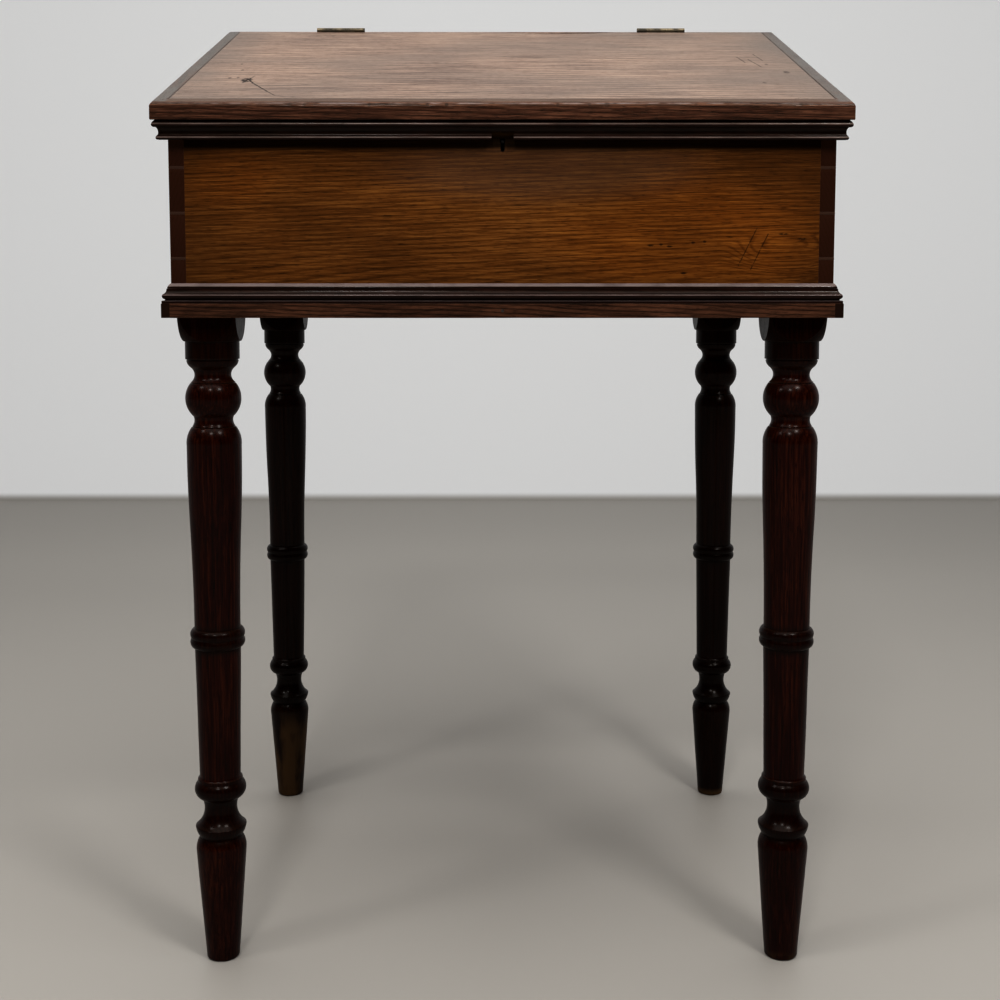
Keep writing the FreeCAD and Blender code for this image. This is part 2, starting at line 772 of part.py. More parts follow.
def nails():
    fascia_z = leg_height + bottom_thickness / 2
    runs = spread(-half_width + nail_end_margin, half_width - nail_end_margin, nail_spacing)
    places = [(vec(x, face_y - fascia_thickness, fascia_z), (0, 1, 0)) for x in runs]
    depths = spread(face_y + nail_end_margin, back_y - nail_end_margin, nail_spacing)
    for side in (-1, 1):
        outer = side * (half_width + fascia_thickness)
        places += [(vec(outer, y, fascia_z), (-side, 0, 0)) for y in depths]
    boards = ["bottom_board_" + name for name in bottom_board_names]
    drive("fascia_nails", nail, places, fascia_thickness + leg_inset - tenon_radius - fascia_nail_margin,
          boards + ["base_fascia_front", "base_fascia_left", "base_fascia_right"])

    # bottom boards are nailed up into the case, between the legs
    clear = leg_inset + leg_square
    runs = spread(-half_width + clear, half_width - clear, nail_spacing)
    front_y = face_y + front_thickness / 2
    rear_y = back_y - back_thickness / 2
    places = [(vec(x, y, leg_height), (0, 0, 1)) for x in runs for y in (front_y, rear_y)]
    side_x = half_width - side_thickness / 2
    depths = spread(face_y + clear, back_y - clear, nail_spacing)
    places += [(vec(side * side_x, y, leg_height), (0, 0, 1)) for y in depths for side in (-1, 1)]
    drive("bottom_nails", nail, places, nail_length,
          boards + ["front_board", "back_board", "left_side_board", "right_side_board"])

    # the ledge is nailed down into the sides and the back
    down = (0, 0, -1)
    depths = spread(joint_y + nail_end_margin, back_y - nail_end_margin, nail_spacing)
    places = [(vec(side * side_x, y, ledge_top_z), down) for y in depths for side in (-1, 1)]
    runs = spread(-half_width + clear, half_width - clear, nail_spacing)
    places += [(vec(x, rear_y, ledge_top_z), down) for x in runs]
    drive("ledge_nails", nail, places, nail_length,
          ["top_ledge", "back_board", "left_side_board", "right_side_board"])


def main():
    case()
    bottom_boards()
    fascia()
    base_moulding()
    legs()
    lid()
    ledge()
    hinges()
    lock_body()
    lock_bolt()
    keeper()
    lock_fasteners()
    nails()
    os.makedirs("parts", exist_ok=True)
    for name, shape in parts.items():
        shape.exportStep("parts/" + name + ".step")


main()
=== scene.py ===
import bmesh
import bpy
import json
import math
from mathutils import Matrix, Vector, noise

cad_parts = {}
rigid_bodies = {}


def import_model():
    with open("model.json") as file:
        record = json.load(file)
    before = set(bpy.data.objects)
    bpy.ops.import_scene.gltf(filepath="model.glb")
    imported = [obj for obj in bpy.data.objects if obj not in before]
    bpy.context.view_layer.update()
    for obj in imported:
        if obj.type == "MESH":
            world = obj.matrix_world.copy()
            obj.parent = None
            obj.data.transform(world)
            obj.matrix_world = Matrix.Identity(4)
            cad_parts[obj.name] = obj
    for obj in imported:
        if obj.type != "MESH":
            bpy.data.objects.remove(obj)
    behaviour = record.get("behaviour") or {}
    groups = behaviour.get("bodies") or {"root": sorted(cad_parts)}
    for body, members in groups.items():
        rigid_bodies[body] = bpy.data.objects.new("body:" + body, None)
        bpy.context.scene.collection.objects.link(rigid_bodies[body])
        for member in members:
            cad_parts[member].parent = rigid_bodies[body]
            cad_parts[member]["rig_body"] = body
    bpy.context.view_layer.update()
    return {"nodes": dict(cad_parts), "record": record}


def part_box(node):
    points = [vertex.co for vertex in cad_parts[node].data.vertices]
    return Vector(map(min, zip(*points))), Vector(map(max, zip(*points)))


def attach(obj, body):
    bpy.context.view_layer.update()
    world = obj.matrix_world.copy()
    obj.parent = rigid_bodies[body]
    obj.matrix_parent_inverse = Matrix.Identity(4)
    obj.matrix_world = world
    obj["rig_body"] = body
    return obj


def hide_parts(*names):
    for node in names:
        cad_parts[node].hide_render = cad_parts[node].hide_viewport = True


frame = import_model()
nodes = frame["nodes"]
slotOf = {part["node"]: part["material_slot"] for part in frame["record"]["subparts"]}
mm = 0.001

# places on the desk, from the frame
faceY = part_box("front_board")[0].y          # outer face of the front board
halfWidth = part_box("right_side_board")[1].x
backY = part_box("back_board")[1].y
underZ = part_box("bottom_board_front")[0].z  # underside of the bottom boards
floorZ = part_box("bottom_board_front")[1].z  # floor of the case
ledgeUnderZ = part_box("top_ledge")[0].z
jointY = (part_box("top_ledge")[0].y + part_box("lid_board")[1].y) / 2  # between the ledge and the lid
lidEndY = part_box("lid_edging_left")[1].y
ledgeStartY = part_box("ledge_edging_left")[0].y

# the lid and the ledge
slope = math.radians(20)
rise = math.tan(slope)
overhang = 15.3                             # of the top past the case, in mm
topThickness = 17 * mm
topHeight = topThickness / math.cos(slope)  # lid, measured upright


def lidUnder(y):
    return ledgeUnderZ + (y - jointY) * rise


def ledgeUnder(y):
    return ledgeUnderZ


def caseFloor(y):
    return floorZ


def onLid(x, up):
    # a place on the lid's face, x across and up the slope from its front edge, in mm
    y = faceY - overhang * mm + up * mm * math.cos(slope)
    return Vector((x * mm, y, lidUnder(y) + topHeight))


def onFront(x, z):
    # a place on the front board's face, x across and z up from the ground, in mm
    return Vector((x * mm, faceY, z * mm))


# the camera looks down by its pitch and aside by its turn, in degrees; lens and sensor are in mm
view = {"place": (-0.0081, -1.6836, 0.7406), "pitch": 4.94, "turn": -0.219,
        "lens": 47.77, "sensor": 36, "shift": -0.088, "contrast": 0.72}
studio = {
    # lamps as (x, y, z, power)
    "lamps": [(-0.46, -2.75, 3.05, 32), (0.92, -1.50, 2.35, 20), (-1.70, -1.20, 2.40, 10)],
    "lampSize": (0.42, 0.28),
    "lampAim": (0, 0, 0.8),
    "skyPlace": (0, -0.5, 3.4),
    "skySize": 3.4,
    "skyPower": 110,
    "wallY": 3.146,
    "wallHeight": 3.6,
    "sweep": 0.03,                          # radius from the floor to the wall
    "sweepSteps": 12,
    "floorReach": 9,
    "floorColour": (0.44, 0.415, 0.38),
    "floorRough": 0.5,
    "farFloor": (0.72, 0.71, 0.68),         # keeps the floor pale beyond the lamps' reach
    "farMiddle": (0.0, 1.5, 0.0),
    "farBand": (2.3, 4.2),                  # how far out that glow begins and is full
    "wallColour": (0.35, 0.352, 0.35),
    "wallRough": 0.95,
    "wallGlow": 0.49,
    "airSeen": (0.74, 0.745, 0.74),
    "airFront": 0.02,                       # how bright the room is before the desk
    "airBack": 0.5,                         # and behind and over it
    "airTurn": (-0.15, 0.6)}                # where it turns from one to the other


class Wire:
    # wraps a socket of a node tree, so that materials are written as sums
    def __init__(self, tree, socket=None):
        self.tree = tree
        self.socket = socket

    def node(self, kind, settings, sockets, output=0):
        # any node: its settings first, then the values or links of its sockets
        made = self.tree.nodes.new(kind)
        for name, value in settings.items():
            if name == "stops":
                fillRamp(made.color_ramp, value)
            else:
                setattr(made, name, value)
        for name, value in sockets.items():
            if isinstance(value, Wire):
                self.tree.links.new(value.socket, made.inputs[name])
            else:
                made.inputs[name].default_value = value
        return Wire(self.tree, made.outputs[output])

    def math(self, operation, *others):
        # a Math node on this value and any others
        return self.node("ShaderNodeMath", {"operation": operation}, dict(enumerate((self, *others))))

    def mathAfter(self, operation, first):
        # a Math node on another value and this one
        return self.node("ShaderNodeMath", {"operation": operation}, {0: first, 1: self})

    def __add__(self, other):
        return self.math("ADD", other)

    def __radd__(self, other):
        return self.mathAfter("ADD", other)

    def __sub__(self, other):
        return self.math("SUBTRACT", other)

    def __rsub__(self, other):
        return self.mathAfter("SUBTRACT", other)

    def __mul__(self, other):
        return self.math("MULTIPLY", other)

    def __rmul__(self, other):
        return self.mathAfter("MULTIPLY", other)

    def __truediv__(self, other):
        return self.math("DIVIDE", other)

    def __rtruediv__(self, other):
        return self.mathAfter("DIVIDE", other)

    def __pow__(self, other):
        return self.math("POWER", other)

    def __rpow__(self, other):
        return self.mathAfter("POWER", other)

    def vector(self, operation, *others, output=0):
        # a Vector Math node on this vector and any others
        sockets = dict(enumerate((self, *others)))
        return self.node("ShaderNodeVectorMath", {"operation": operation}, sockets, output)

    def part(self, index):
        return self.node("ShaderNodeSeparateXYZ", {}, {0: self}, index)

    def noise(self, scales, detail=2.0, rough=0.5, output=0):
        # noise over a vector, with a scale for each direction in features per metre
        sockets = {"Vector": self.vector("MULTIPLY", scales), "Scale": 1.0, "Detail": detail,
                   "Roughness": rough}
        return self.node("ShaderNodeTexNoise", {}, sockets, output)

    def smooth(self, low, high):
        # 0 below low, 1 above high
        return self.node("ShaderNodeMapRange", {"interpolation_type": "SMOOTHSTEP"},
                         {"Value": self, "From Min": low, "From Max": high})

    def ramp(self, stops):
        return self.node("ShaderNodeValToRGB", {"stops": stops}, {"Fac": self})

    def mix(self, first, second, blend="MIX"):
        # this value picks between two colours
        return self.node("ShaderNodeMix", {"data_type": "RGBA", "blend_type": blend},
                         {0: self, 6: paint(first), 7: paint(second)}, 2)

    def blob(self, centre, sizes):
        # a soft round patch about a place
        scaled = self.vector("SUBTRACT", tuple(centre)).vector("DIVIDE", sizes)
        return 1 - scaled.vector("LENGTH", output=1).smooth(0.35, 1.0)

    def stroke(self, start, end, width):
        # a thin line from one place to another
        away = self.vector("SUBTRACT", tuple(start))
        line = end - start
        share = away.vector("DOT_PRODUCT", tuple(line / line.length_squared), output=1)
        held = self.node("ShaderNodeClamp", {}, {"Value": share})
        foot = self.node("ShaderNodeVectorMath", {"operation": "SCALE"}, {0: tuple(line), 3: held})
        return 1 - away.vector("DISTANCE", foot, output=1).smooth(width * 0.3, width)


def paint(value):
    # a colour gets its alpha, and anything else stays as it is
    return (*value, 1.0) if isinstance(value, tuple) and len(value) == 3 else value


def fillRamp(ramp, stops):
    while len(ramp.elements) < len(stops):
        ramp.elements.new(0.5)
    for element, (place, colour) in zip(ramp.elements, stops):
        element.position = place
        element.color = paint(colour)


def newMaterial(name):
    # an empty material with one shader, as (material, shader, wire)
    material = bpy.data.materials.new(name)
    material.use_nodes = True
    shader = material.node_tree.nodes["Principled BSDF"]
    return material, shader, Wire(material.node_tree)


def plug(shader, **sockets):
    # sockets of a shader by name, with "_" for a space
    for name, value in sockets.items():
        socket = shader.inputs[name.replace("_", " ")]
        if isinstance(value, Wire):
            value.tree.links.new(value.socket, socket)
        else:
            socket.default_value = paint(value)


def addThing(name, data):
    thing = bpy.data.objects.new(name, data)
    bpy.context.scene.collection.objects.link(thing)
    return thing


def makeCamera():
    camera = addThing("camera", bpy.data.cameras.new("camera"))
    camera.data.lens = view["lens"]
    camera.data.sensor_width = view["sensor"]
    camera.data.shift_y = view["shift"]
    camera.location = view["place"]
    camera.rotation_euler = (math.radians(90 - view["pitch"]), 0, math.radians(view["turn"]))
    bpy.context.scene.camera = camera
    bpy.context.scene.view_settings.view_transform = "Standard"
    bpy.context.scene.view_settings.gamma = view["contrast"]


def areaLamp(name, place, aim, size, power):
    lamp = addThing(name, bpy.data.lights.new(name, "AREA"))
    lamp.data.shape = "RECTANGLE"
    lamp.data.size = size[0]
    lamp.data.size_y = size[1]
    lamp.data.energy = power
    lamp.location = place
    lamp.rotation_euler = (Vector(aim) - Vector(place)).to_track_quat("-Z", "Y").to_euler()


def makeAir():
    # pale air, darker before the desk so that its front isn't washed out by reflections
    world = bpy.data.worlds.new("air")
    bpy.context.scene.world = world
    world.use_nodes = True
    wire = Wire(world.node_tree)
    direction = wire.node("ShaderNodeTexCoord", {}, {}, "Generated")
    behind = direction.part(1).smooth(*studio["airTurn"])
    light = behind * (studio["airBack"] - studio["airFront"]) + studio["airFront"]
    seen = wire.node("ShaderNodeLightPath", {}, {}, "Is Camera Ray")
    grey = wire.node("ShaderNodeCombineXYZ", {}, {0: light, 1: light, 2: light})
    colour = seen.mix(grey, studio["airSeen"])
    world.node_tree.links.new(colour.socket, world.node_tree.nodes["Background"].inputs["Color"])


def makeStage():
    # a floor that sweeps up into the wall behind the desk
    sweep = studio["sweep"]
    reach = studio["floorReach"]
    steps = studio["sweepSteps"]
    outline = [(-reach, 0.0)]
    for step in range(steps + 1):
        turn = math.pi / 2 * step / steps
        outline.append((studio["wallY"] - sweep + sweep * math.sin(turn), sweep - sweep * math.cos(turn)))
    outline.append((studio["wallY"], studio["wallHeight"]))
    bm = bmesh.new()
    edges = [[bm.verts.new((x, y, z)) for y, z in outline] for x in (reach, -reach)]
    for first, second in zip(zip(*edges), list(zip(*edges))[1:]):
        bm.faces.new((first[0], second[0], second[1], first[1])).smooth = True
    mesh = bpy.data.meshes.new("stage")
    bm.to_mesh(mesh)
    bm.free()

    material, shader, wire = newMaterial("stagePaint")
    place = wire.node("ShaderNodeTexCoord", {}, {}, "Object")
    wall = place.part(2).smooth(0.0, sweep)
    far = place.vector("DISTANCE", studio["farMiddle"], output=1).smooth(*studio["farBand"])
    glow = wall.mix(far.mix((0.0, 0.0, 0.0), studio["farFloor"]), (1.0, 1.0, 1.0))
    rough = wall * (studio["wallRough"] - studio["floorRough"]) + studio["floorRough"]
    plug(shader, Base_Color=wall.mix(studio["floorColour"], studio["wallColour"]), Roughness=rough,
         Emission_Color=glow, Emission_Strength=studio["wallGlow"])
    mesh.materials.append(material)
    addThing("stage", mesh)


makeCamera()
makeAir()
makeStage()
for step, (x, y, z, power) in enumerate(studio["lamps"]):
    areaLamp("lamp" + str(step), (x, y, z), studio["lampAim"], studio["lampSize"], power)
areaLamp("sky", studio["skyPlace"], (0, 0, 0), (studio["skySize"], studio["skySize"]), studio["skyPower"])
print("camera, stage and light ready")


# how a board's grain is turned so that it runs along the first coordinate
grainTurns = {"x": (0, 0, 0), "y": (0, 0, -math.pi / 2), "z": (0, math.pi / 2, 0)}

# what every wood starts from; scales are features per metre, along the grain and across it,
# pith is where the rings' centre line stands across the grain, and pithRun how it leans along it
oakLook = {
    "axis": "x", "tilt": 0.0, "knots": [],
    "dark": (0.055, 0.016, 0.004), "middle": (0.22, 0.075, 0.018), "light": (0.42, 0.18, 0.045),
    "endColour": (0.045, 0.016, 0.008),
    "pith": (0.03, -0.08), "pithRun": (0.1, 0.0), "ringSpacing": 0.0042, "ringWarp": 0.012,
    "ring": 0.35, "streak": 1.5, "blotch": 0.9, "pore": 0.35, "bend": 0.006,
    "bendScale": (9, 26, 26), "streakScale": (28, 270, 270), "poreScale": (110, 1500, 1500),
    "blotchScale": (3, 9, 9), "rough": 0.42, "roughVary": 0.2, "bump": 0.35,
    "coat": 0.0, "coatRough": 0.14, "dullAbove": None, "gloss": 0.15, "tint": (1.0, 0.75, 0.5)}


def wood(name, look, marks=None):
    # grain along one axis: growth rings about a pith line, wavy streaks, pores and stains
    look = {**oakLook, **look}
    material, shader, wire = newMaterial(name)
    place = wire.node("ShaderNodeTexCoord", {}, {}, "Object")
    facing = wire.node("ShaderNodeTexCoord", {}, {}, "Normal")
    turnX, turnY, turnZ = grainTurns[look["axis"]]
    turn = (turnX - look["tilt"], turnY, turnZ)
    grain = wire.node("ShaderNodeMapping", {}, {"Vector": place, "Rotation": turn})
    faced = wire.node("ShaderNodeMapping", {"vector_type": "VECTOR"}, {"Vector": facing, "Rotation": turn})
    wave = grain.noise(look["bendScale"], 2.0, 0.5, 1).vector("SUBTRACT", (0.5, 0.5, 0.5))
    bent = grain.vector("ADD", wave.vector("MULTIPLY", (0.0, look["bend"], look["bend"])))

    along = bent.part(0)
    across = bent.part(1) - along * look["pithRun"][0] - look["pith"][0]
    up = bent.part(2) - along * look["pithRun"][1] - look["pith"][1]
    for centre, sizes, lift in look["knots"]:
        up = place.blob(centre, sizes) * lift + up      # rings bend round a knot
    radius = (across * across + up * up) ** 0.5
    warped = radius + bent.noise((2, 10, 10), 1.0) * look["ringWarp"]
    ring = (warped / look["ringSpacing"]).math("FRACT")
    early = ring.smooth(0.0, 0.35) * (1 - ring.smooth(0.8, 1.0))    # 1 in the pale part of each ring

    streak = bent.noise(look["streakScale"], 3.0, 0.6)
    pore = bent.noise(look["poreScale"], 1.0).smooth(0.55, 0.68)
    blotch = grain.noise(look["blotchScale"], 2.0, 0.55)
    tone = ((streak - 0.5) * look["streak"] + (early - 0.6) * look["ring"]
            + (blotch - 0.5) * look["blotch"] - pore * look["pore"] + 0.5)
    colour = tone.ramp([(0.0, look["dark"]), (0.5, look["middle"]), (1.0, look["light"])])

    # end grain, where a face looks along the board
    end = faced.part(0).math("ABSOLUTE").smooth(0.6, 0.85)
    speck = grain.noise((500, 500, 500), 2.0) * 0.8 + 0.6
    endPaint = (speck * early.smooth(-0.6, 1.0)).mix(look["dark"], look["endColour"])
    colour = end.mix(colour, endPaint)

    rough = look["rough"] + (blotch - 0.5) * look["roughVary"] + pore * 0.12
    height = streak * 0.35 + early * 0.25 - pore
    if marks:
        colour, rough, height = marks(place, colour, rough, height)
    bump = wire.node("ShaderNodeBump", {}, {"Strength": look["bump"], "Distance": 0.0003, "Height": height})
    coat = look["coat"]
    if look["dullAbove"]:
        coat = (1 - place.part(2).smooth(look["dullAbove"] - 2 * mm, look["dullAbove"])) * coat
    plug(shader, Base_Color=colour, Roughness=rough, Normal=bump, Specular_IOR_Level=look["gloss"],
         Specular_Tint=look["tint"], Coat_Weight=coat, Coat_Roughness=look["coatRough"])
    return material


def normalZ(place):
    # how much a surface looks up, from -1 to 1
    return place.node("ShaderNodeTexCoord", {}, {}, "Normal").part(2)


def band(value, low, high, soft=0.3):
    # 1 between two heights in mm, with soft edges
    above = value.smooth((low - soft) * mm, (low + soft) * mm)
    return above * (1 - value.smooth((high - soft) * mm, (high + soft) * mm))


frontLook = {
    "pith": (faceY + 0.03, 0.745), "pithRun": (-0.05, 0.03), "ring": 0.24, "ringSpacing": 0.0046,
    "ringWarp": 0.01, "knots": [(onFront(302, 784), (0.075, 0.05, 0.028), 0.02)],
    "streak": 1.25, "streakScale": (19, 660, 660), "poreScale": (90, 2100, 2100), "bend": 0.003,
    "bendScale": (6, 20, 20), "blotch": 0.7, "gloss": 0.1, "tint": (1.0, 0.6, 0.25),
    "dark": (0.042, 0.014, 0.0026), "middle": (0.150, 0.056, 0.0110), "light": (0.33, 0.150, 0.036)}
# places as for onFront; patches have their sizes in metres, and bands are heights in metres
frontWearAndPaintedLight = {
    "gold": [((205, 800), (0.2, 0.1, 0.085), 1.0), ((-290, 866), (0.07, 0.1, 0.04), 0.5)],
    "goldTint": (1.55, 1.35, 0.8),
    # a painted sheen by the lock, standing for a reflection
    "haze": ((40, 878), (0.22, 0.1, 0.05)),
    "hazeColour": (0.115, 0.078, 0.058),
    "grimeTop": (0.85, 0.90),               # dirt and painted shade grow from here up,
    "grimeFoot": (0.734, 0.765),            # from here down,
    "grimeSide": (0.25, 0.34),              # and from here out to both sides,
    "grimeThins": (0.76, 0.82),             # where it is thinner higher up
    "grimeColour": (0.035, 0.012, 0.003),
    "shadeBand": (0.8935, 0.8985),          # where the painted shadow under the moulding begins
    "shadeFades": (0.906, 0.914),
    "shadeColour": (0.004, 0.0015, 0.001),
    "pinLength": 16,                        # of the dovetails' pins, in mm
    "pinEdge": 0.5,
    "pinColour": (0.060, 0.034, 0.026),
    # nicks with their lengths, in mm
    "nicks": [((156, 795), 5), ((167, 796), 3), ((176, 794), 4), ((201, 798), 3), ((213, 799), 2.5),
              ((191, 766), 4), ((296, 807), 7), ((316, 802), 6)],
    "nickHeight": 1.6,
    "scratches": [((268, 813), (249, 774)), ((280, 807), (262, 770))],
    "scratchWidth": 0.9,
    "markColour": (0.012, 0.004, 0.002)}


def frontMarks(place, colour, rough, height):
    # golden heart on the right, a painted sheen by the lock, dirt and painted shade at the edges, a painted
    # shadow under the moulding, grey-brown dovetail pins, nicks and scratches
    wear = frontWearAndPaintedLight
    gold = 0.0
    for spot, sizes, share in wear["gold"]:
        gold = place.blob(onFront(*spot), sizes) * share + gold
    colour = (gold * 0.6).mix(colour, wear["goldTint"], "MULTIPLY")
    # a painted sheen by the lock
    spot, sizes = wear["haze"]
    colour = (place.blob(onFront(*spot), sizes) * 0.35).mix(colour, wear["hazeColour"])

    z = place.part(2)
    side = place.part(0).math("ABSOLUTE")
    stain = place.noise((5, 5, 9), 2.0).smooth(0.45, 0.7) * 0.3
    # darker towards the top, the foot and both sides: dirt and painted shade
    corner = side.smooth(*wear["grimeSide"]) * (0.4 - z.smooth(*wear["grimeThins"]) * 0.12)
    dirtAndShade = z.smooth(*wear["grimeTop"]) * 0.3 + (1 - z.smooth(*wear["grimeFoot"])) * 0.3 + corner
    colour = (dirtAndShade + stain).mix(colour, wear["grimeColour"])
    # painted shadow under the moulding, fainter where the moulding hides it
    shade = z.smooth(*wear["shadeBand"]) * (0.9 - z.smooth(*wear["shadeFades"]) * 0.65)
    colour = shade.mix(colour, wear["shadeColour"])
    pinX = halfWidth - wear["pinLength"] * mm
    pinEdge = wear["pinEdge"] * mm
    colour = (side.smooth(pinX - pinEdge, pinX + pinEdge) * 0.9).mix(colour, wear["pinColour"])

    dark = 0.0
    for spot, size in wear["nicks"]:
        dark = place.blob(onFront(*spot), (size * mm, 0.01, wear["nickHeight"] * mm)) + dark
    for start, end in wear["scratches"]:
        dark = place.stroke(onFront(*start), onFront(*end), wear["scratchWidth"] * mm) * 0.8 + dark
    broken = dark * place.noise((420, 420, 420), 2.0).smooth(0.3, 0.5)
    colour = (broken * 0.85).mix(colour, wear["markColour"])
    return colour, rough, height - broken * 3


lidLook = {
    "tilt": slope, "dark": (0.085, 0.050, 0.036), "middle": (0.222, 0.152, 0.114),
    "light": (0.40, 0.290, 0.220), "gloss": 0.5, "tint": (1.0, 0.95, 0.9), "pith": (-0.25, 0.93),
    "pithRun": (0.05, 0.03), "ringSpacing": 0.011, "ring": 0.26, "streak": 2.3, "blotch": 0.8,
    "streakScale": (15, 400, 400), "bend": 0.004, "bendScale": (3, 10, 10), "rough": 0.46, "bump": 0.3}
# places as for onLid; specks and scratches have their widths in mm, and the rest is in metres
lidWearAndShade = {
    "greyRight": (0.05, 0.33),              # painted shade, greyer and darker towards the right
    "greySide": (0.285, 0.345),             # and towards both sides
    "greyColour": (0.165, 0.128, 0.105),
    "underTint": (0.72, 0.50, 0.34),
    "knot": (-284, 116),
    "knotSizes": (0.008, 0.017, 0.009),
    "specks": [((-299, 176), 2.5), ((-305, 129), 3), ((-306, 213), 2), ((-296, 131), 2.5),
               ((326, 164), 5), ((290, 103), 3), ((312, 213), 3)],
    "scratches": [((-286, 101), (-279, 140), 1.5), ((-287, 125), (-275, 103), 1.5),
                  ((-279, 110), (-252, 55), 1.1), ((-276, 101), (-264, 78), 1.2),
                  ((-264, 78), (-241, 34), 1.2), ((-241, 34), (-231, 30), 1.0),
                  ((285, 262), (289, 225), 1.2), ((296, 245), (303, 198), 1.1),
                  ((308, 280), (312, 236), 1.0), ((300, 12), (311, 22), 1.0),
                  ((313, 24), (323, 15), 1.0)],
    "smudge": (-235, 413),
    "smudgeSizes": (0.03, 0.012, 0.02),
    "sideJoint": (0.3476, 0.3485),          # dirt from here out to the side edgings
    "frontJoint": (0.001, 0.0022),          # and ahead of here, behind the front board's face
    "markColour": (0.018, 0.010, 0.007)}


def lidMarks(place, colour, rough, height):
    # grey patches, painted shade towards the right, a browner underside, a knot with two checks, scratches,
    # and dirt in the joints
    wear = lidWearAndShade
    x = place.part(0)
    away = x.math("ABSOLUTE")
    under = 1 - normalZ(place).smooth(-0.6, -0.3)
    # grey patches, painted shade towards the right, and darker towards both sides
    grey = place.noise((5, 8, 8), 2.0).smooth(0.4, 0.65) * 0.4 + x.smooth(*wear["greyRight"]) * 0.3
    grey = grey + away.smooth(*wear["greySide"]) * 0.35
    colour = (grey * (1 - under)).mix(colour, wear["greyColour"])
    colour = under.mix(colour, wear["underTint"], "MULTIPLY")

    dark = place.blob(onLid(*wear["knot"]), wear["knotSizes"]) * 1.5
    for spot, size in wear["specks"]:
        dark = place.blob(onLid(*spot), (size * mm, size * 2 * mm, size * mm)) * 0.7 + dark
    for start, end, width in wear["scratches"]:
        dark = place.stroke(onLid(*start), onLid(*end), width * mm) * 0.8 + dark
    broken = dark * place.noise((260, 260, 260), 2.0).smooth(0.28, 0.48)
    smudge = place.blob(onLid(*wear["smudge"]), wear["smudgeSizes"])
    smudge = smudge * place.noise((150, 150, 150)).smooth(0.45, 0.6)
    frontLow, frontHigh = wear["frontJoint"]
    joint = away.smooth(*wear["sideJoint"]) + 1 - place.part(1).smooth(faceY + frontLow, faceY + frontHigh)
    colour = (broken * 0.9 + smudge * 0.5 + joint * 0.9).mix(colour, wear["markColour"])
    return colour, rough + broken * 0.2, height - broken * 3


edgingLook = {
    "dark": (0.018, 0.007, 0.004), "middle": (0.074, 0.031, 0.018), "light": (0.18, 0.085, 0.050),
    "ring": 0.3, "ringSpacing": 0.005, "streak": 1.9, "streakScale": (26, 600, 600), "bend": 0.002,
    "rough": 0.34, "coat": 0.12, "bump": 0.4}
edgingWearAndHighlight = {
    # knocks in the front edge, as (x, radius, depth) in mm
    "knocks": [(-138, 3.6, 1.0), (-78, 3.2, 0.8), (-58, 3.6, 1.0), (57, 3.2, 0.8), (108, 5, 0.7),
               (90, 3.5, 0.5), (-220, 5, 0.6), (-205, 3.5, 0.7), (309, 4.5, 0.7), (200, 3, 0.4)],
    "knockUp": 1.5,                         # up the slope from the edge, in mm
    "knockDrop": 3,                         # and down from there
    "knockColour": (0.016, 0.007, 0.005),
    "rubbedFront": (0.125, 0.083, 0.060),
    "rubbedSide": (0.140, 0.130, 0.120),
    "rubbedTurn": (0.346, 0.352),           # how far out the front's colour turns to the sides'
    "arrisColour": (0.30, 0.24, 0.22),
    "arrisFades": (0.15, 0.36)}             # the painted highlight on the arris is fainter towards the corners
edgeKnocks = []
for x, radius, depth in edgingWearAndHighlight["knocks"]:
    place = onLid(x, edgingWearAndHighlight["knockUp"]) - Vector((0, 0, edgingWearAndHighlight["knockDrop"] * mm))
    edgeKnocks.append((place, radius * mm, depth * mm))


def edgingMarks(place, colour, rough, height):
    # rubbed brown on top at the front and grey down the sides, with a pale broken line on the arris:
    # painted highlight and wear
    wear = edgingWearAndHighlight
    up = normalZ(place)
    top = up.smooth(0.8, 0.93)
    arris = up.smooth(0.4, 0.52) * (1 - up.smooth(0.62, 0.74))
    away = place.part(0).math("ABSOLUTE")
    worn = place.noise((14, 14, 30), 3.0).smooth(0.3, 0.7)
    rubbed = away.smooth(*wear["rubbedTurn"]).mix(wear["rubbedFront"], wear["rubbedSide"])
    colour = (top * (worn * 0.25 + 0.7)).mix(colour, rubbed)
    # a broken pale line on the arris, a painted highlight with wear
    broken = place.noise((60, 60, 200), 3.0).smooth(0.35, 0.65)
    broken = broken * (1 - away.smooth(*wear["arrisFades"]) * 0.6)
    colour = (arris * broken * 0.6).mix(colour, wear["arrisColour"])
    dark = 0.0
    for centre, radius, depth in edgeKnocks:
        dark = place.blob(centre, (radius * 0.8, radius * 1.2, radius * 0.8)) * (depth / mm) + dark
    colour = (dark * 0.75).mix(colour, wear["knockColour"])
    return colour, rough + top * 0.1, height


mouldingLook = {
    "dark": (0.004, 0.0012, 0.0008), "middle": (0.014, 0.0042, 0.0026), "light": (0.034, 0.012, 0.008),
    "ring": 0.2, "rough": 0.34, "roughVary": 0.1, "coat": 0.16, "gloss": 0.1, "bump": 0.12}
# rubbed bands, partly painted highlights: mm down from the lid's underside, or up from the floor of the
# case with their strength
mouldingWearAndHighlight = {"bands": [(3.5, 4.8), (18.3, 19.5)], "colour": (0.22, 0.165, 0.145)}
baseWearAndHighlight = {"top": (17.6, 18.4), "bands": [(8.3, 9.4, 0.75), (2.4, 3.2, 0.45)],
            "colour": (0.20, 0.155, 0.145)}


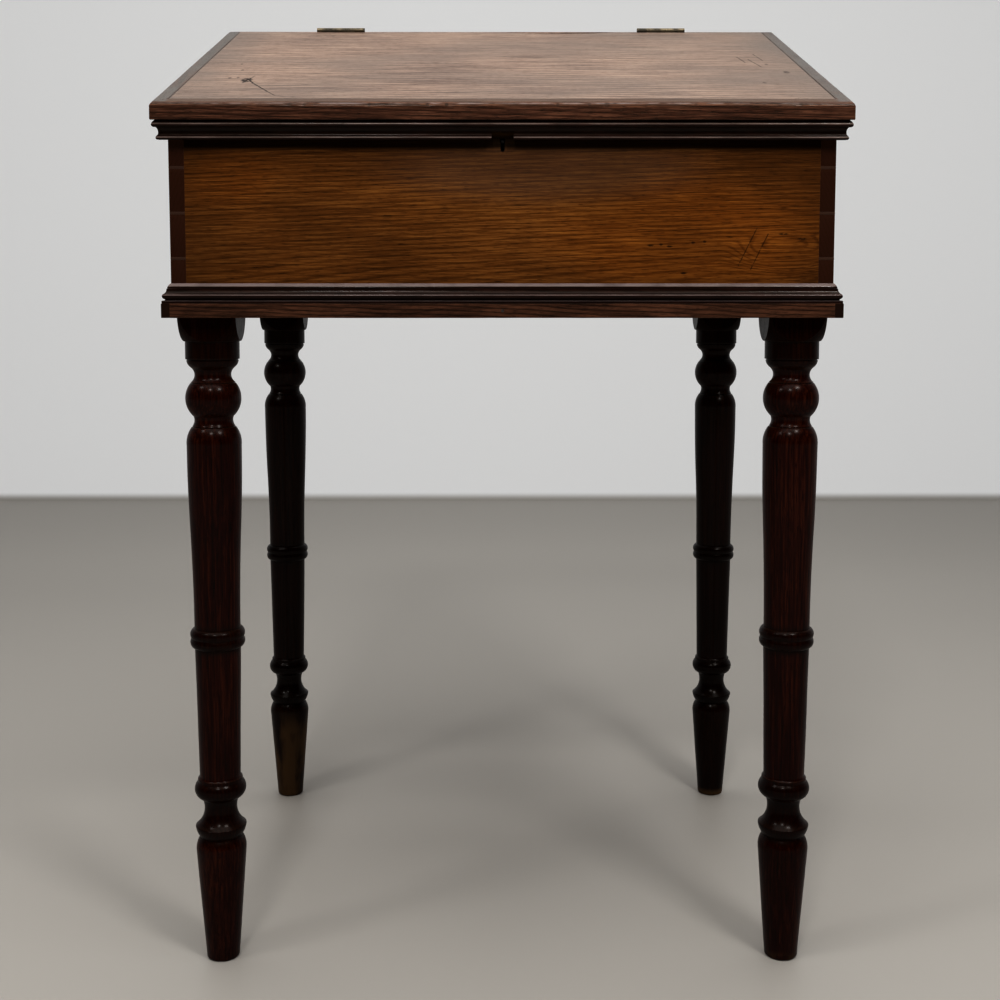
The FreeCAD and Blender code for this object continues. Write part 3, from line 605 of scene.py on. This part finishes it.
def mouldingMarks(place, colour, rough, height):
    # rubbed pale along the two beads, where painted highlights also fall
    down = (place.part(1) - jointY).math("MINIMUM", 0.0) * rise + ledgeUnderZ - place.part(2)
    patch = place.noise((25, 25, 60), 3.0).smooth(0.3, 0.7) * 0.6 + 0.4
    # wear and painted highlights along the beads
    worn = 0.0
    for low, high in mouldingWearAndHighlight["bands"]:
        worn = band(down, low, high) + worn
    worn = worn * patch
    return (worn * 0.8).mix(colour, mouldingWearAndHighlight["colour"]), rough + worn * 0.1, height


def baseMarks(place, colour, rough, height):
    # pale along the sloping top, where the finish is rubbed through; painted highlights along the bead and
    # the thin shelf
    z = place.part(2) - floorZ
    patch = place.noise((40, 40, 60), 3.0).smooth(0.2, 0.6) * 0.4 + 0.6
    low, high = baseWearAndHighlight["top"]
    worn = z.smooth(low * mm, high * mm)
    # painted highlights along the bead and the thin shelf
    for low, high, share in baseWearAndHighlight["bands"]:
        worn = band(z, low, high) * share + worn
    worn = worn * patch
    return worn.mix(colour, baseWearAndHighlight["colour"]), rough + worn * 0.1, height


fasciaLook = {
    "dark": (0.018, 0.007, 0.0035), "middle": (0.063, 0.027, 0.015), "light": (0.14, 0.062, 0.034),
    "ring": 0.4, "gloss": 0.12, "endColour": (0.020, 0.008, 0.005)}
sideLook = {
    "axis": "y", "dark": (0.034, 0.011, 0.0025), "middle": (0.14, 0.050, 0.010),
    "light": (0.30, 0.125, 0.028), "pith": (-0.05, 0.70), "pithRun": (0.0, 0.06),
    "streakScale": (25, 470, 470), "bendScale": (4, 14, 14), "bend": 0.003,
    "gloss": 0.1, "endColour": (0.042, 0.013, 0.006)}
pineLook = {
    "dark": (0.12, 0.062, 0.028), "middle": (0.25, 0.145, 0.072), "light": (0.34, 0.22, 0.12),
    "endColour": (0.16, 0.09, 0.045), "pith": (0.02, 0.665), "pithRun": (0.03, 0.0), "ring": 0.45,
    "ringSpacing": 0.0065, "ringWarp": 0.008, "streak": 0.8, "pore": 0.15, "rough": 0.7, "bump": 0.3}
legLook = {
    "axis": "z", "dark": (0.003, 0.0004, 0.0002), "middle": (0.020, 0.0018, 0.0008),
    "light": (0.070, 0.015, 0.005), "pith": (0.05, 0.02), "pithRun": (0.0, 0.0), "ringSpacing": 0.004,
    "ring": 0.15, "streak": 1.25, "blotch": 0.8, "streakScale": (11, 400, 400),
    "poreScale": (60, 1500, 1500), "rough": 0.3, "roughVary": 0.12, "coat": 0.14, "coatRough": 0.19,
    "dullAbove": underZ - 0.025, "gloss": 0.05, "bump": 0.2}
# heights in metres, but the bands in mm
legWearAndShade = {
    "head": (0.655, 0.675),                 # where the dark head begins
    "dirtBands": [(352, 381), (138, 207)],  # the double band, and the ring and flare
    "dirtSoft": 5,
    "dirtColour": (0.004, 0.0013, 0.0009),
    "backColour": (0.002, 0.0006, 0.0004),
    "footTop": (0.10, 0.14),
    "rimTop": (0.004, 0.012),
    "bareColour": (0.10, 0.052, 0.018)}


def legMarks(place, colour, rough, height):
    # darker at the head and in the turnings, with painted shade on the back legs; worn to the wood on the
    # back left foot and at the rims
    wear = legWearAndShade
    z = place.part(2)
    right = place.part(0).smooth(-0.1, 0.1)
    back = place.part(1).smooth(0.0, 0.1)
    # darker at the head and in the turnings
    darkening = z.smooth(*wear["head"])
    for low, high in wear["dirtBands"]:
        darkening = darkening + band(z, low, high, wear["dirtSoft"])
    colour = (darkening * 0.6).mix(colour, wear["dirtColour"])
    patch = place.noise((45, 45, 12), 3.0).smooth(0.42, 0.62)
    foot = (1 - right) * back * (1 - z.smooth(*wear["footTop"])) * patch
    speck = place.noise((60, 60, 60), 2.0).smooth(0.45, 0.6)
    rim = (1 - z.smooth(*wear["rimTop"])) * (speck * 0.4 + right * back)
    worn = foot * 0.8 + rim * 0.7
    # painted shade on the back legs
    colour = (back * 0.7).mix(colour, wear["backColour"])
    colour = worn.mix(colour, wear["bareColour"])
    return colour, rough + worn * 0.2, height


metals = {
    "hinge_brass": {"clean": (0.20, 0.165, 0.11), "patina": (0.075, 0.064, 0.046), "rough": 0.5,
                    "dull": 0.6},
    "lock_iron": {"clean": (0.095, 0.09, 0.085), "patina": (0.035, 0.024, 0.018), "rough": 0.55,
                  "dull": 0.6},
    "spring_steel": {"clean": (0.35, 0.34, 0.33), "patina": (0.12, 0.10, 0.09), "rough": 0.3,
                     "dull": 0.3},
    "fastener_iron": {"clean": (0.14, 0.13, 0.12), "patina": (0.035, 0.02, 0.015), "rough": 0.5,
                      "dull": 0.6}}


def metal(name, look):
    # dull metal with a patina, darker in patches and brighter where it rubs
    material, shader, wire = newMaterial(name)
    place = wire.node("ShaderNodeTexCoord", {}, {}, "Object")
    patina = place.noise((90, 90, 90), 3.0, 0.6).smooth(0.35, 0.65)
    speck = place.noise((900, 900, 900), 2.0)
    plug(shader, Base_Color=patina.mix(look["clean"], look["patina"]),
         Roughness=look["rough"] + patina * 0.2 + (speck - 0.5) * 0.3, Metallic=1 - patina * look["dull"],
         Normal=wire.node("ShaderNodeBump", {}, {"Strength": 0.3, "Distance": 0.0002, "Height": speck}))
    return material


# every wood with its look and its marks; strips run along the front, the level sides and the slope
woods = {
    "frontOak": (frontLook, frontMarks), "sideOak": (sideLook, None),
    "backOak": ({**sideLook, "axis": "x"}, None), "lidOak": (lidLook, lidMarks),
    "ledgeOak": ({**lidLook, "tilt": 0.0, "pith": (0.2, 0.9)}, None), "pineX": (pineLook, None),
    "pineZ": ({**pineLook, "axis": "z", "pith": (0.03, -0.08)}, None), "leg": (legLook, legMarks)}
for name, look, marks in (("edging", edgingLook, edgingMarks), ("moulding", mouldingLook, mouldingMarks),
                          ("baseMoulding", mouldingLook, baseMarks), ("fascia", fasciaLook, None)):
    woods[name + "X"] = (look, marks)
    woods[name + "Y"] = ({**look, "axis": "y"}, marks)
woods["edgingSlope"] = ({**edgingLook, "axis": "y", "tilt": slope}, edgingMarks)
woods["mouldingSlope"] = ({**mouldingLook, "axis": "y", "tilt": slope}, mouldingMarks)

finishes = {name: metal(name, look) for name, look in metals.items()}
for name, (look, marks) in woods.items():
    finishes[name] = wood(name, look, marks)
print("finishes ready")


def finishMesh(bm, name, sharpAngle=32):
    # smooth faces with sharp edges where they turn by more than an angle
    bm.normal_update()
    for face in bm.faces:
        face.smooth = True
    for edge in bm.edges:
        edge.smooth = edge.calc_face_angle(0) < math.radians(sharpAngle)
    mesh = bpy.data.meshes.new(name)
    bm.to_mesh(mesh)
    bm.free()
    return mesh


def camel(node):
    first, *rest = node.split("_")
    return first + "".join(word.capitalize() for word in rest)


def addPiece(node, mesh, finish):
    # a piece that stands for a CAD node, rides on its body and takes the given finish
    piece = addThing(camel(node), mesh)
    mesh.materials.clear()
    mesh.materials.append(finishes[finish])
    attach(piece, nodes[node]["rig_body"])
    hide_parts(node)


def waver(bm, amount, size, seed):
    # handwork is never quite flat: push the surface in and out a little, each seed in its own way
    bm.normal_update()
    shift = Vector((seed * 7.3, seed * 3.1, seed * 5.7))
    for vert in bm.verts:
        vert.co += vert.normal * amount * noise.noise(vert.co / size + shift)


def dent(bm, places):
    # knocks at (place, radius, depth)
    bm.normal_update()
    for place, radius, depth in places:
        for vert in bm.verts:
            share = (vert.co - place).length / radius
            if share < 1:
                vert.co -= vert.normal * depth * (1 - share * share) ** 2


# corners nearer than weld, in metres, become one; faces count as flat or sharp by angles in degrees
recutting = {"weld": 0.00001, "flat": 0.3, "sharp": 30, "segments": 2, "profile": 0.6}


def recut(node, arris, spacing, shortest=4 * mm):
    # a CAD shape with its long edges eased, cut into a grid that can be shaped
    weld = recutting["weld"]
    bm = bmesh.new()
    bm.from_mesh(nodes[node].data)
    bmesh.ops.remove_doubles(bm, verts=bm.verts, dist=weld)
    bmesh.ops.dissolve_limit(bm, angle_limit=math.radians(recutting["flat"]), verts=bm.verts,
                             edges=bm.edges)
    turn = math.radians(recutting["sharp"])
    sharp = [edge for edge in bm.edges
             if edge.calc_face_angle(0) > turn and edge.calc_length() > shortest]
    bmesh.ops.bevel(bm, geom=sharp, offset=arris, segments=recutting["segments"],
                    profile=recutting["profile"], affect="EDGES", clamp_overlap=False)
    low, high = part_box(node)
    for axis in range(3):
        count = int((high[axis] - low[axis]) / spacing)
        for step in range(1, count):
            place = Vector((0, 0, 0))
            place[axis] = low[axis] + (high[axis] - low[axis]) * step / count
            normal = Vector((0, 0, 0))
            normal[axis] = 1
            bmesh.ops.bisect_plane(bm, geom=bm.verts[:] + bm.edges[:] + bm.faces[:],
                                   plane_co=place, plane_no=normal, dist=weld)
    return bm


# boards with their finish, and the easing of their edges and the spacing of their grid in mm
boards = {
    "front_board": ("frontOak", 0.35, 60), "left_side_board": ("sideOak", 0.35, 60),
    "right_side_board": ("sideOak", 0.35, 60), "back_board": ("backOak", 0.35, 60),
    "top_ledge": ("ledgeOak", 0.4, 30)}
for row in ("front", "middle", "back"):
    boards["bottom_board_" + row] = ("pineX", 0.5, 80)
for corner in ("front_left", "front_right", "back_left", "back_right"):
    boards["corner_block_" + corner] = ("pineZ", 0.6, 80)
boardWaver = {"amount": 0.15 * mm, "size": 0.15}

for node, (finish, arris, spacing) in boards.items():
    bm = recut(node, arris * mm, spacing * mm)
    waver(bm, boardWaver["amount"], boardWaver["size"], len(node))
    addPiece(node, finishMesh(bm, camel(node)), finish)

# the lid board, whose back edge has sunk a little between the hinges, in metres
lidBoard = {"arris": 0.4 * mm, "spacing": 18 * mm, "waver": 0.3 * mm, "waverSize": 0.12, "seed": 3,
            "dipLow": -0.018, "dipHigh": 0.185, "dip": 2.2 * mm, "dipDepth": 0.06}
bm = recut("lid_board", lidBoard["arris"], lidBoard["spacing"])
waver(bm, lidBoard["waver"], lidBoard["waverSize"], lidBoard["seed"])
for vert in bm.verts:
    share = (vert.co.x - lidBoard["dipLow"]) / (lidBoard["dipHigh"] - lidBoard["dipLow"])
    near = 1 - (jointY - vert.co.y) / lidBoard["dipDepth"]
    onTop = vert.co.z > lidUnder(vert.co.y) + topHeight / 2
    if onTop and 0 < share < 1 and near > 0:
        vert.co.z -= lidBoard["dip"] * math.sin(math.pi * share) ** 2 * near * near
addPiece("lid_board", finishMesh(bm, "lidBoard"), "lidOak")
print("boards ready")


def sampleRun(start, end, swell, grid):
    # places from start up to, but not at, end, on a line or on an arc that swells to the left
    run = end - start
    count = max(1, round(run.length / grid))
    if not swell:
        return [start.lerp(end, step / count) for step in range(count)]
    count = max(8, count)
    chord = run.length
    half = 2 * math.atan(2 * abs(swell) / chord)
    radius = chord / 2 / math.sin(half)
    side = Vector((-run.y, run.x)).normalized() * math.copysign(1, swell)
    middle = (start + end) / 2
    places = []
    for step in range(count):
        turn = half * (2 * step / count - 1)
        lift = radius * (math.cos(turn) - math.cos(half))
        places.append(middle + run.normalized() * radius * math.sin(turn) + side * lift)
    return places


def sampleSteps(steps, grid, closed):
    # (u, v) or (u, v, swell) steps in mm as a dense outline in metres
    order = steps[1:] + steps[:1] if closed else steps[1:]
    last = steps[0]
    places = []
    for step in order:
        swell = step[2] if len(step) == 3 else 0
        places += sampleRun(Vector(last[:2]), Vector(step[:2]), swell, grid)
        last = step
    if not closed:
        places.append(Vector(last[:2]))
    return [place * mm for place in places]


def easeCorners(places, radius, closed):
    # round the corners of an outline that are sharper than 155 degrees
    eased = []
    count = len(places)
    for step, place in enumerate(places):
        before = places[step - 1] - place
        after = places[(step + 1) % count] - place
        atEnd = not closed and step in (0, count - 1)
        if atEnd or before.angle(after) > math.radians(155):
            eased.append(place)
            continue
        first = place + before.normalized() * min(radius, before.length * 0.45)
        second = place + after.normalized() * min(radius, after.length * 0.45)
        eased += [first, first * 0.25 + place * 0.5 + second * 0.25, second]
    return eased


def sweepStrip(outline, startOf, endOf, spacing, seam=0.15 * mm):
    # an outline carried from its places at one end to its places at the other
    bm = bmesh.new()
    starts = [startOf(u, v) for u, v in outline]
    ends = [endOf(u, v) for u, v in outline]
    length = (ends[0] - starts[0]).length
    count = max(1, round(length / spacing))
    shares = [0.0, seam / length] + [step / count for step in range(1, count)] + [1 - seam / length, 1.0]
    rings = []
    for share in shares:
        places = [start.lerp(end, share) for start, end in zip(starts, ends)]
        if share in (0.0, 1.0):
            middle = sum(places, Vector()) / len(places)
            places = [place + (middle - place).normalized() * seam for place in places]
        rings.append([bm.verts.new(place) for place in places])
    for ring, following in zip(rings, rings[1:]):
        for step in range(len(outline)):
            bm.faces.new((ring[step - 1], ring[step], following[step], following[step - 1]))
    bm.faces.new(rings[0])
    bm.faces.new(rings[-1])
    bmesh.ops.recalc_face_normals(bm, faces=bm.faces)
    return bm


def frontStrip(outline, height, spacing, mitred=True):
    # along the front, mitred or square at both ends
    def endAt(side):
        def placeOf(u, v):
            reach = halfWidth + u if mitred else halfWidth
            return Vector((side * reach, faceY - u, height(faceY - u) + v))
        return placeOf
    return sweepStrip(outline, endAt(-1), endAt(1), spacing)


def sideStrip(outline, side, height, startY, endY, spacing):
    # along one side, from a mitre where startY is left out
    def startOf(u, v):
        y = faceY - u if startY is None else startY
        return Vector((side * (halfWidth + u), y, height(y) + v))

    def endOf(u, v):
        return Vector((side * (halfWidth + u), endY, height(endY) + v))
    return sweepStrip(outline, startOf, endOf, spacing)


def booleanMesh(mesh, tool, operation):
    # the mesh that a boolean with another mesh leaves
    first = addThing("first", mesh)
    second = addThing("second", tool)
    modifier = first.modifiers.new("cut", "BOOLEAN")
    modifier.operation = operation
    modifier.object = second
    modifier.solver = "EXACT"
    found = first.evaluated_get(bpy.context.evaluated_depsgraph_get())
    result = bpy.data.meshes.new_from_object(found)
    bpy.data.objects.remove(first)
    bpy.data.objects.remove(second)
    return result


def boxMesh(low, high):
    # a closed box between two corners, used to cut others
    bm = bmesh.new()
    bmesh.ops.create_cube(bm, size=1)
    low, high = Vector(low), Vector(high)
    for vert in bm.verts:
        vert.co = Vector([(low[axis] + high[axis]) / 2 + vert.co[axis] * (high[axis] - low[axis])
                          for axis in range(3)])
    mesh = bpy.data.meshes.new("cutter")
    bm.to_mesh(mesh)
    bm.free()
    return mesh


# outlines are in mm: out from the case, and down from the lid's underside or up from the case's floor
edging = {"inner": -0.7, "height": 18.09, "arris": 4.5, "swell": 1.3, "underArris": 1.2,
          "underSwell": 0.35, "frontSpacing": 4, "frontWaver": 0.25, "grid": 1.5, "easing": 0.4}
edgingSteps = [(edging["inner"], edging["height"]), (overhang - edging["arris"], edging["height"]),
               (overhang, edging["height"] - edging["arris"], edging["swell"]),
               (overhang, edging["underArris"]),
               (overhang - edging["underArris"], 0, edging["underSwell"]), (edging["inner"], 0)]
lidMoulding = {"gap": 1.0, "steps": [(11.0, 0), (11.0, -1.5), (11.6, -1.9), (11.6, -8.1, 2.4), (10.2, -8.5),
                                     (8.4, -16.6, -1.0), (8.6, -17.2), (8.2, -21.9, 2.0), (7.4, -22.4)],
               "foot": -22.4, "notchHalf": 11.5, "notchTop": 8.6, "notchFrom": 7.4, "notchRoom": 30,
               "waver": 0.12, "seed": 5}
baseMouldingSteps = [(0, 21.5), (3.4, 16.8, 0.5), (2.8, 16.2), (4.0, 15.6), (5.6, 11.0, -0.5), (6.0, 10.5),
                     (6.3, 4.9, 2.0), (5.4, 4.3), (5.4, 3.2), (8.4, 2.8), (8.4, 0), (0, 0)]
fascia = {"thickness": 9.0, "height": 15.0, "spacing": 12, "grid": 3, "easing": 0.6}
fasciaSteps = [(0, 0), (0, -fascia["height"]), (fascia["thickness"], -fascia["height"]),
               (fascia["thickness"], 0)]
moulding = {"spacing": 5, "grid": 1.2, "easing": 0.3}
stripSpacing = moulding["spacing"] * mm     # along a strip, from one section to the next
fasciaSpacing = fascia["spacing"] * mm
wideWaver = 0.05                            # metres from one swell of the surface to the next
fineWaver = 0.008


def lidMouldingSteps(gap):
    # the moulding under the top, whose back stands a gap out from the case
    return [(gap, 0)] + lidMoulding["steps"] + [(gap, lidMoulding["foot"])]


def outlineOf(steps, style):
    return easeCorners(sampleSteps(steps, style["grid"], True), style["easing"] * mm, True)


def dress(bm, node, finish, wear, knocks=()):
    # small wear, in mm, then the piece
    waver(bm, wear * mm, wideWaver, len(node))
    waver(bm, wear * 0.5 * mm, fineWaver, len(node))
    dent(bm, knocks)
    addPiece(node, finishMesh(bm, camel(node)), finish)


def notchedMoulding(outline):
    # the front moulding under the lid, notched over the keyhole
    bm = frontStrip(outline, lidUnder, stripSpacing)
    waver(bm, lidMoulding["waver"] * mm, wideWaver, lidMoulding["seed"])
    top = (lidUnder(faceY - lidMoulding["notchFrom"] * mm)
           + (lidMoulding["foot"] + lidMoulding["notchTop"]) * mm)
    half = lidMoulding["notchHalf"] * mm
    room = lidMoulding["notchRoom"] * mm
    notch = boxMesh((-half, faceY - room, top - room), (half, faceY, top))
    cut = bmesh.new()
    cut.from_mesh(booleanMesh(finishMesh(bm, "lidMouldingFront"), notch, "DIFFERENCE"))
    return finishMesh(cut, "lidMouldingFront")


edgingOutline = outlineOf(edgingSteps, edging)
lidOutline = outlineOf(lidMouldingSteps(lidMoulding["gap"]), moulding)
ledgeOutline = outlineOf(lidMouldingSteps(0), moulding)
baseOutline = outlineOf(baseMouldingSteps, moulding)
fasciaOutline = outlineOf(fasciaSteps, fascia)

dress(frontStrip(edgingOutline, lidUnder, edging["frontSpacing"] * mm), "lid_edging_front", "edgingX",
      edging["frontWaver"], edgeKnocks)
addPiece("lid_moulding_front", notchedMoulding(lidOutline), "mouldingX")
dress(frontStrip(baseOutline, caseFloor, stripSpacing), "base_moulding_front", "baseMouldingX", 0.12)
dress(frontStrip(fasciaOutline, caseFloor, fasciaSpacing, mitred=False), "base_fascia_front",
      "fasciaX", 0.2)

# strips down the sides: outline, height, start, end, spacing, finish, and wear in mm
fasciaStartY = faceY - fascia["thickness"] * mm
sideStrips = {
    "lid_edging": (edgingOutline, lidUnder, None, lidEndY, stripSpacing, "edgingSlope", 0.2),
    "lid_moulding": (lidOutline, lidUnder, None, lidEndY, stripSpacing, "mouldingSlope", 0.12),
    "ledge_edging": (edgingOutline, ledgeUnder, ledgeStartY, backY, stripSpacing, "edgingY", 0.2),
    "ledge_moulding": (ledgeOutline, ledgeUnder, ledgeStartY, backY, stripSpacing, "mouldingY", 0.12),
    "base_moulding": (baseOutline, caseFloor, None, backY, stripSpacing, "baseMouldingY", 0.12),
    "base_fascia": (fasciaOutline, caseFloor, fasciaStartY, backY, fasciaSpacing, "fasciaY", 0.2)}
for side, name in ((-1, "left"), (1, "right")):
    for kind, (outline, height, startY, endY, spacing, finish, wear) in sideStrips.items():
        strip = sideStrip(outline, side, height, startY, endY, spacing)
        dress(strip, kind + "_" + name, finish, wear)
print("strips ready")


# sizes in mm, the waver's size in metres and the angle in degrees; tenon is its radius
leg = {"square": 62, "headRadius": 42.3, "tenon": 13, "tenonTop": 60, "segments": 84, "grid": 1.7,
       "arris": 0.35, "waver": 0.25, "waverSize": 0.06, "sharpAngle": 38}
# (drop, radius, swell) in mm, from the underside of the case to the floor
legTurning = [
    (25.5, 30.8, 1.75), (0, 29.0, 0), (19.5, 29.0, 0),          # pommel and collar
    (0, 27.2, 0), (1.4, 27.2, 0), (0, 27.9, 0),                 # groove
    (7.6, 23.5, 0.9), (16.4, 24.0, -4.2),                       # ogee and neck
    (0, 23.1, 0), (0.8, 23.1, 0), (0, 24.3, 0),
    (36.2, 21.3, 7.1), (10.9, 23.0, -1.4),                      # ball and throat
    (0, 22.1, 0), (0.8, 22.1, 0), (0, 23.8, 0),
    (20.0, 29.5, 1.9), (102.0, 27.0, 0.6), (100.7, 24.9, -0.45),  # shoulder and upper shaft
    (0, 26.2, 0), (10.7, 28.2, 2.4), (10.7, 26.2, 2.4),         # double band
    (0, 24.9, 0), (145.0, 22.3, 0), (3.4, 24.4, -0.6), (3.4, 24.4, 0),
    (19.8, 20.2, 5.7), (30.6, 27.8, -5.6),                      # ring and flare
    (1.2, 27.8, 0), (11.4, 23.0, 0.8), (16.5, 27.4, 1.6),
    (121.5, 18.2, 0), (3.0, 15.5, 0.8)]                         # foot


def legOutline():
    # half of the turned shape as (radius, height) places, from the tenon's end down to the floor
    top = underZ / mm
    steps = [(0, top + leg["tenonTop"]), (leg["tenon"], top + leg["tenonTop"]), (leg["tenon"], top),
             (leg["headRadius"], top)]
    height = top
    for drop, radius, swell in legTurning:
        height -= drop
        steps.append((radius, height, swell) if swell else (radius, height))
    steps.append((0, height))
    return easeCorners(sampleSteps(steps, leg["grid"], False), leg["arris"] * mm, False)


def legMesh():
    # turned round, then its head cut square
    outline = legOutline()
    bm = bmesh.new()
    count = leg["segments"]
    turns = [2 * math.pi * step / count for step in range(count)]
    rings = []
    for radius, z in outline[1:-1]:
        places = [(radius * math.cos(turn), radius * math.sin(turn), z) for turn in turns]
        rings.append([bm.verts.new(place) for place in places])
    crown = bm.verts.new((0, 0, outline[0].y))
    rest = bm.verts.new((0, 0, outline[-1].y))
    for ring, following in zip(rings, rings[1:]):
        for step in range(count):
            bm.faces.new((ring[step - 1], ring[step], following[step], following[step - 1]))
    for step in range(count):
        bm.faces.new((crown, rings[0][step - 1], rings[0][step]))
        bm.faces.new((rest, rings[-1][step], rings[-1][step - 1]))
    bmesh.ops.recalc_face_normals(bm, faces=bm.faces)
    half = leg["square"] / 2 * mm
    square = boxMesh((-half, -half, -0.1), (half, half, 1))     # reaches past both ends of the leg
    return booleanMesh(finishMesh(bm, "turned"), square, "INTERSECT")


turnedLeg = legMesh()
for seed, corner in enumerate(("front_left", "front_right", "back_left", "back_right"), 1):
    node = "leg_" + corner
    low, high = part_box(node)
    bm = bmesh.new()
    bm.from_mesh(turnedLeg)
    bm.transform(Matrix.Translation(((low.x + high.x) / 2, (low.y + high.y) / 2, 0)))
    waver(bm, leg["waver"] * mm, leg["waverSize"], seed)
    addPiece(node, finishMesh(bm, camel(node), leg["sharpAngle"]), "leg")
print("legs ready")


# the lock's plates get eased edges, and a spacing too wide for any cut; other metal keeps its CAD shape
lockPlates = {"arris": 0.2 * mm, "spacing": 0.5, "shortest": 1.5 * mm}
for node in ("lock_plate", "lock_keeper", "lock_cap"):
    bm = recut(node, lockPlates["arris"], lockPlates["spacing"], lockPlates["shortest"])
    addPiece(node, finishMesh(bm, camel(node)), slotOf[node])
for node, thing in nodes.items():
    if not thing.hide_render:
        thing.data.materials.clear()
        thing.data.materials.append(finishes[slotOf[node]])
print("hardware ready")
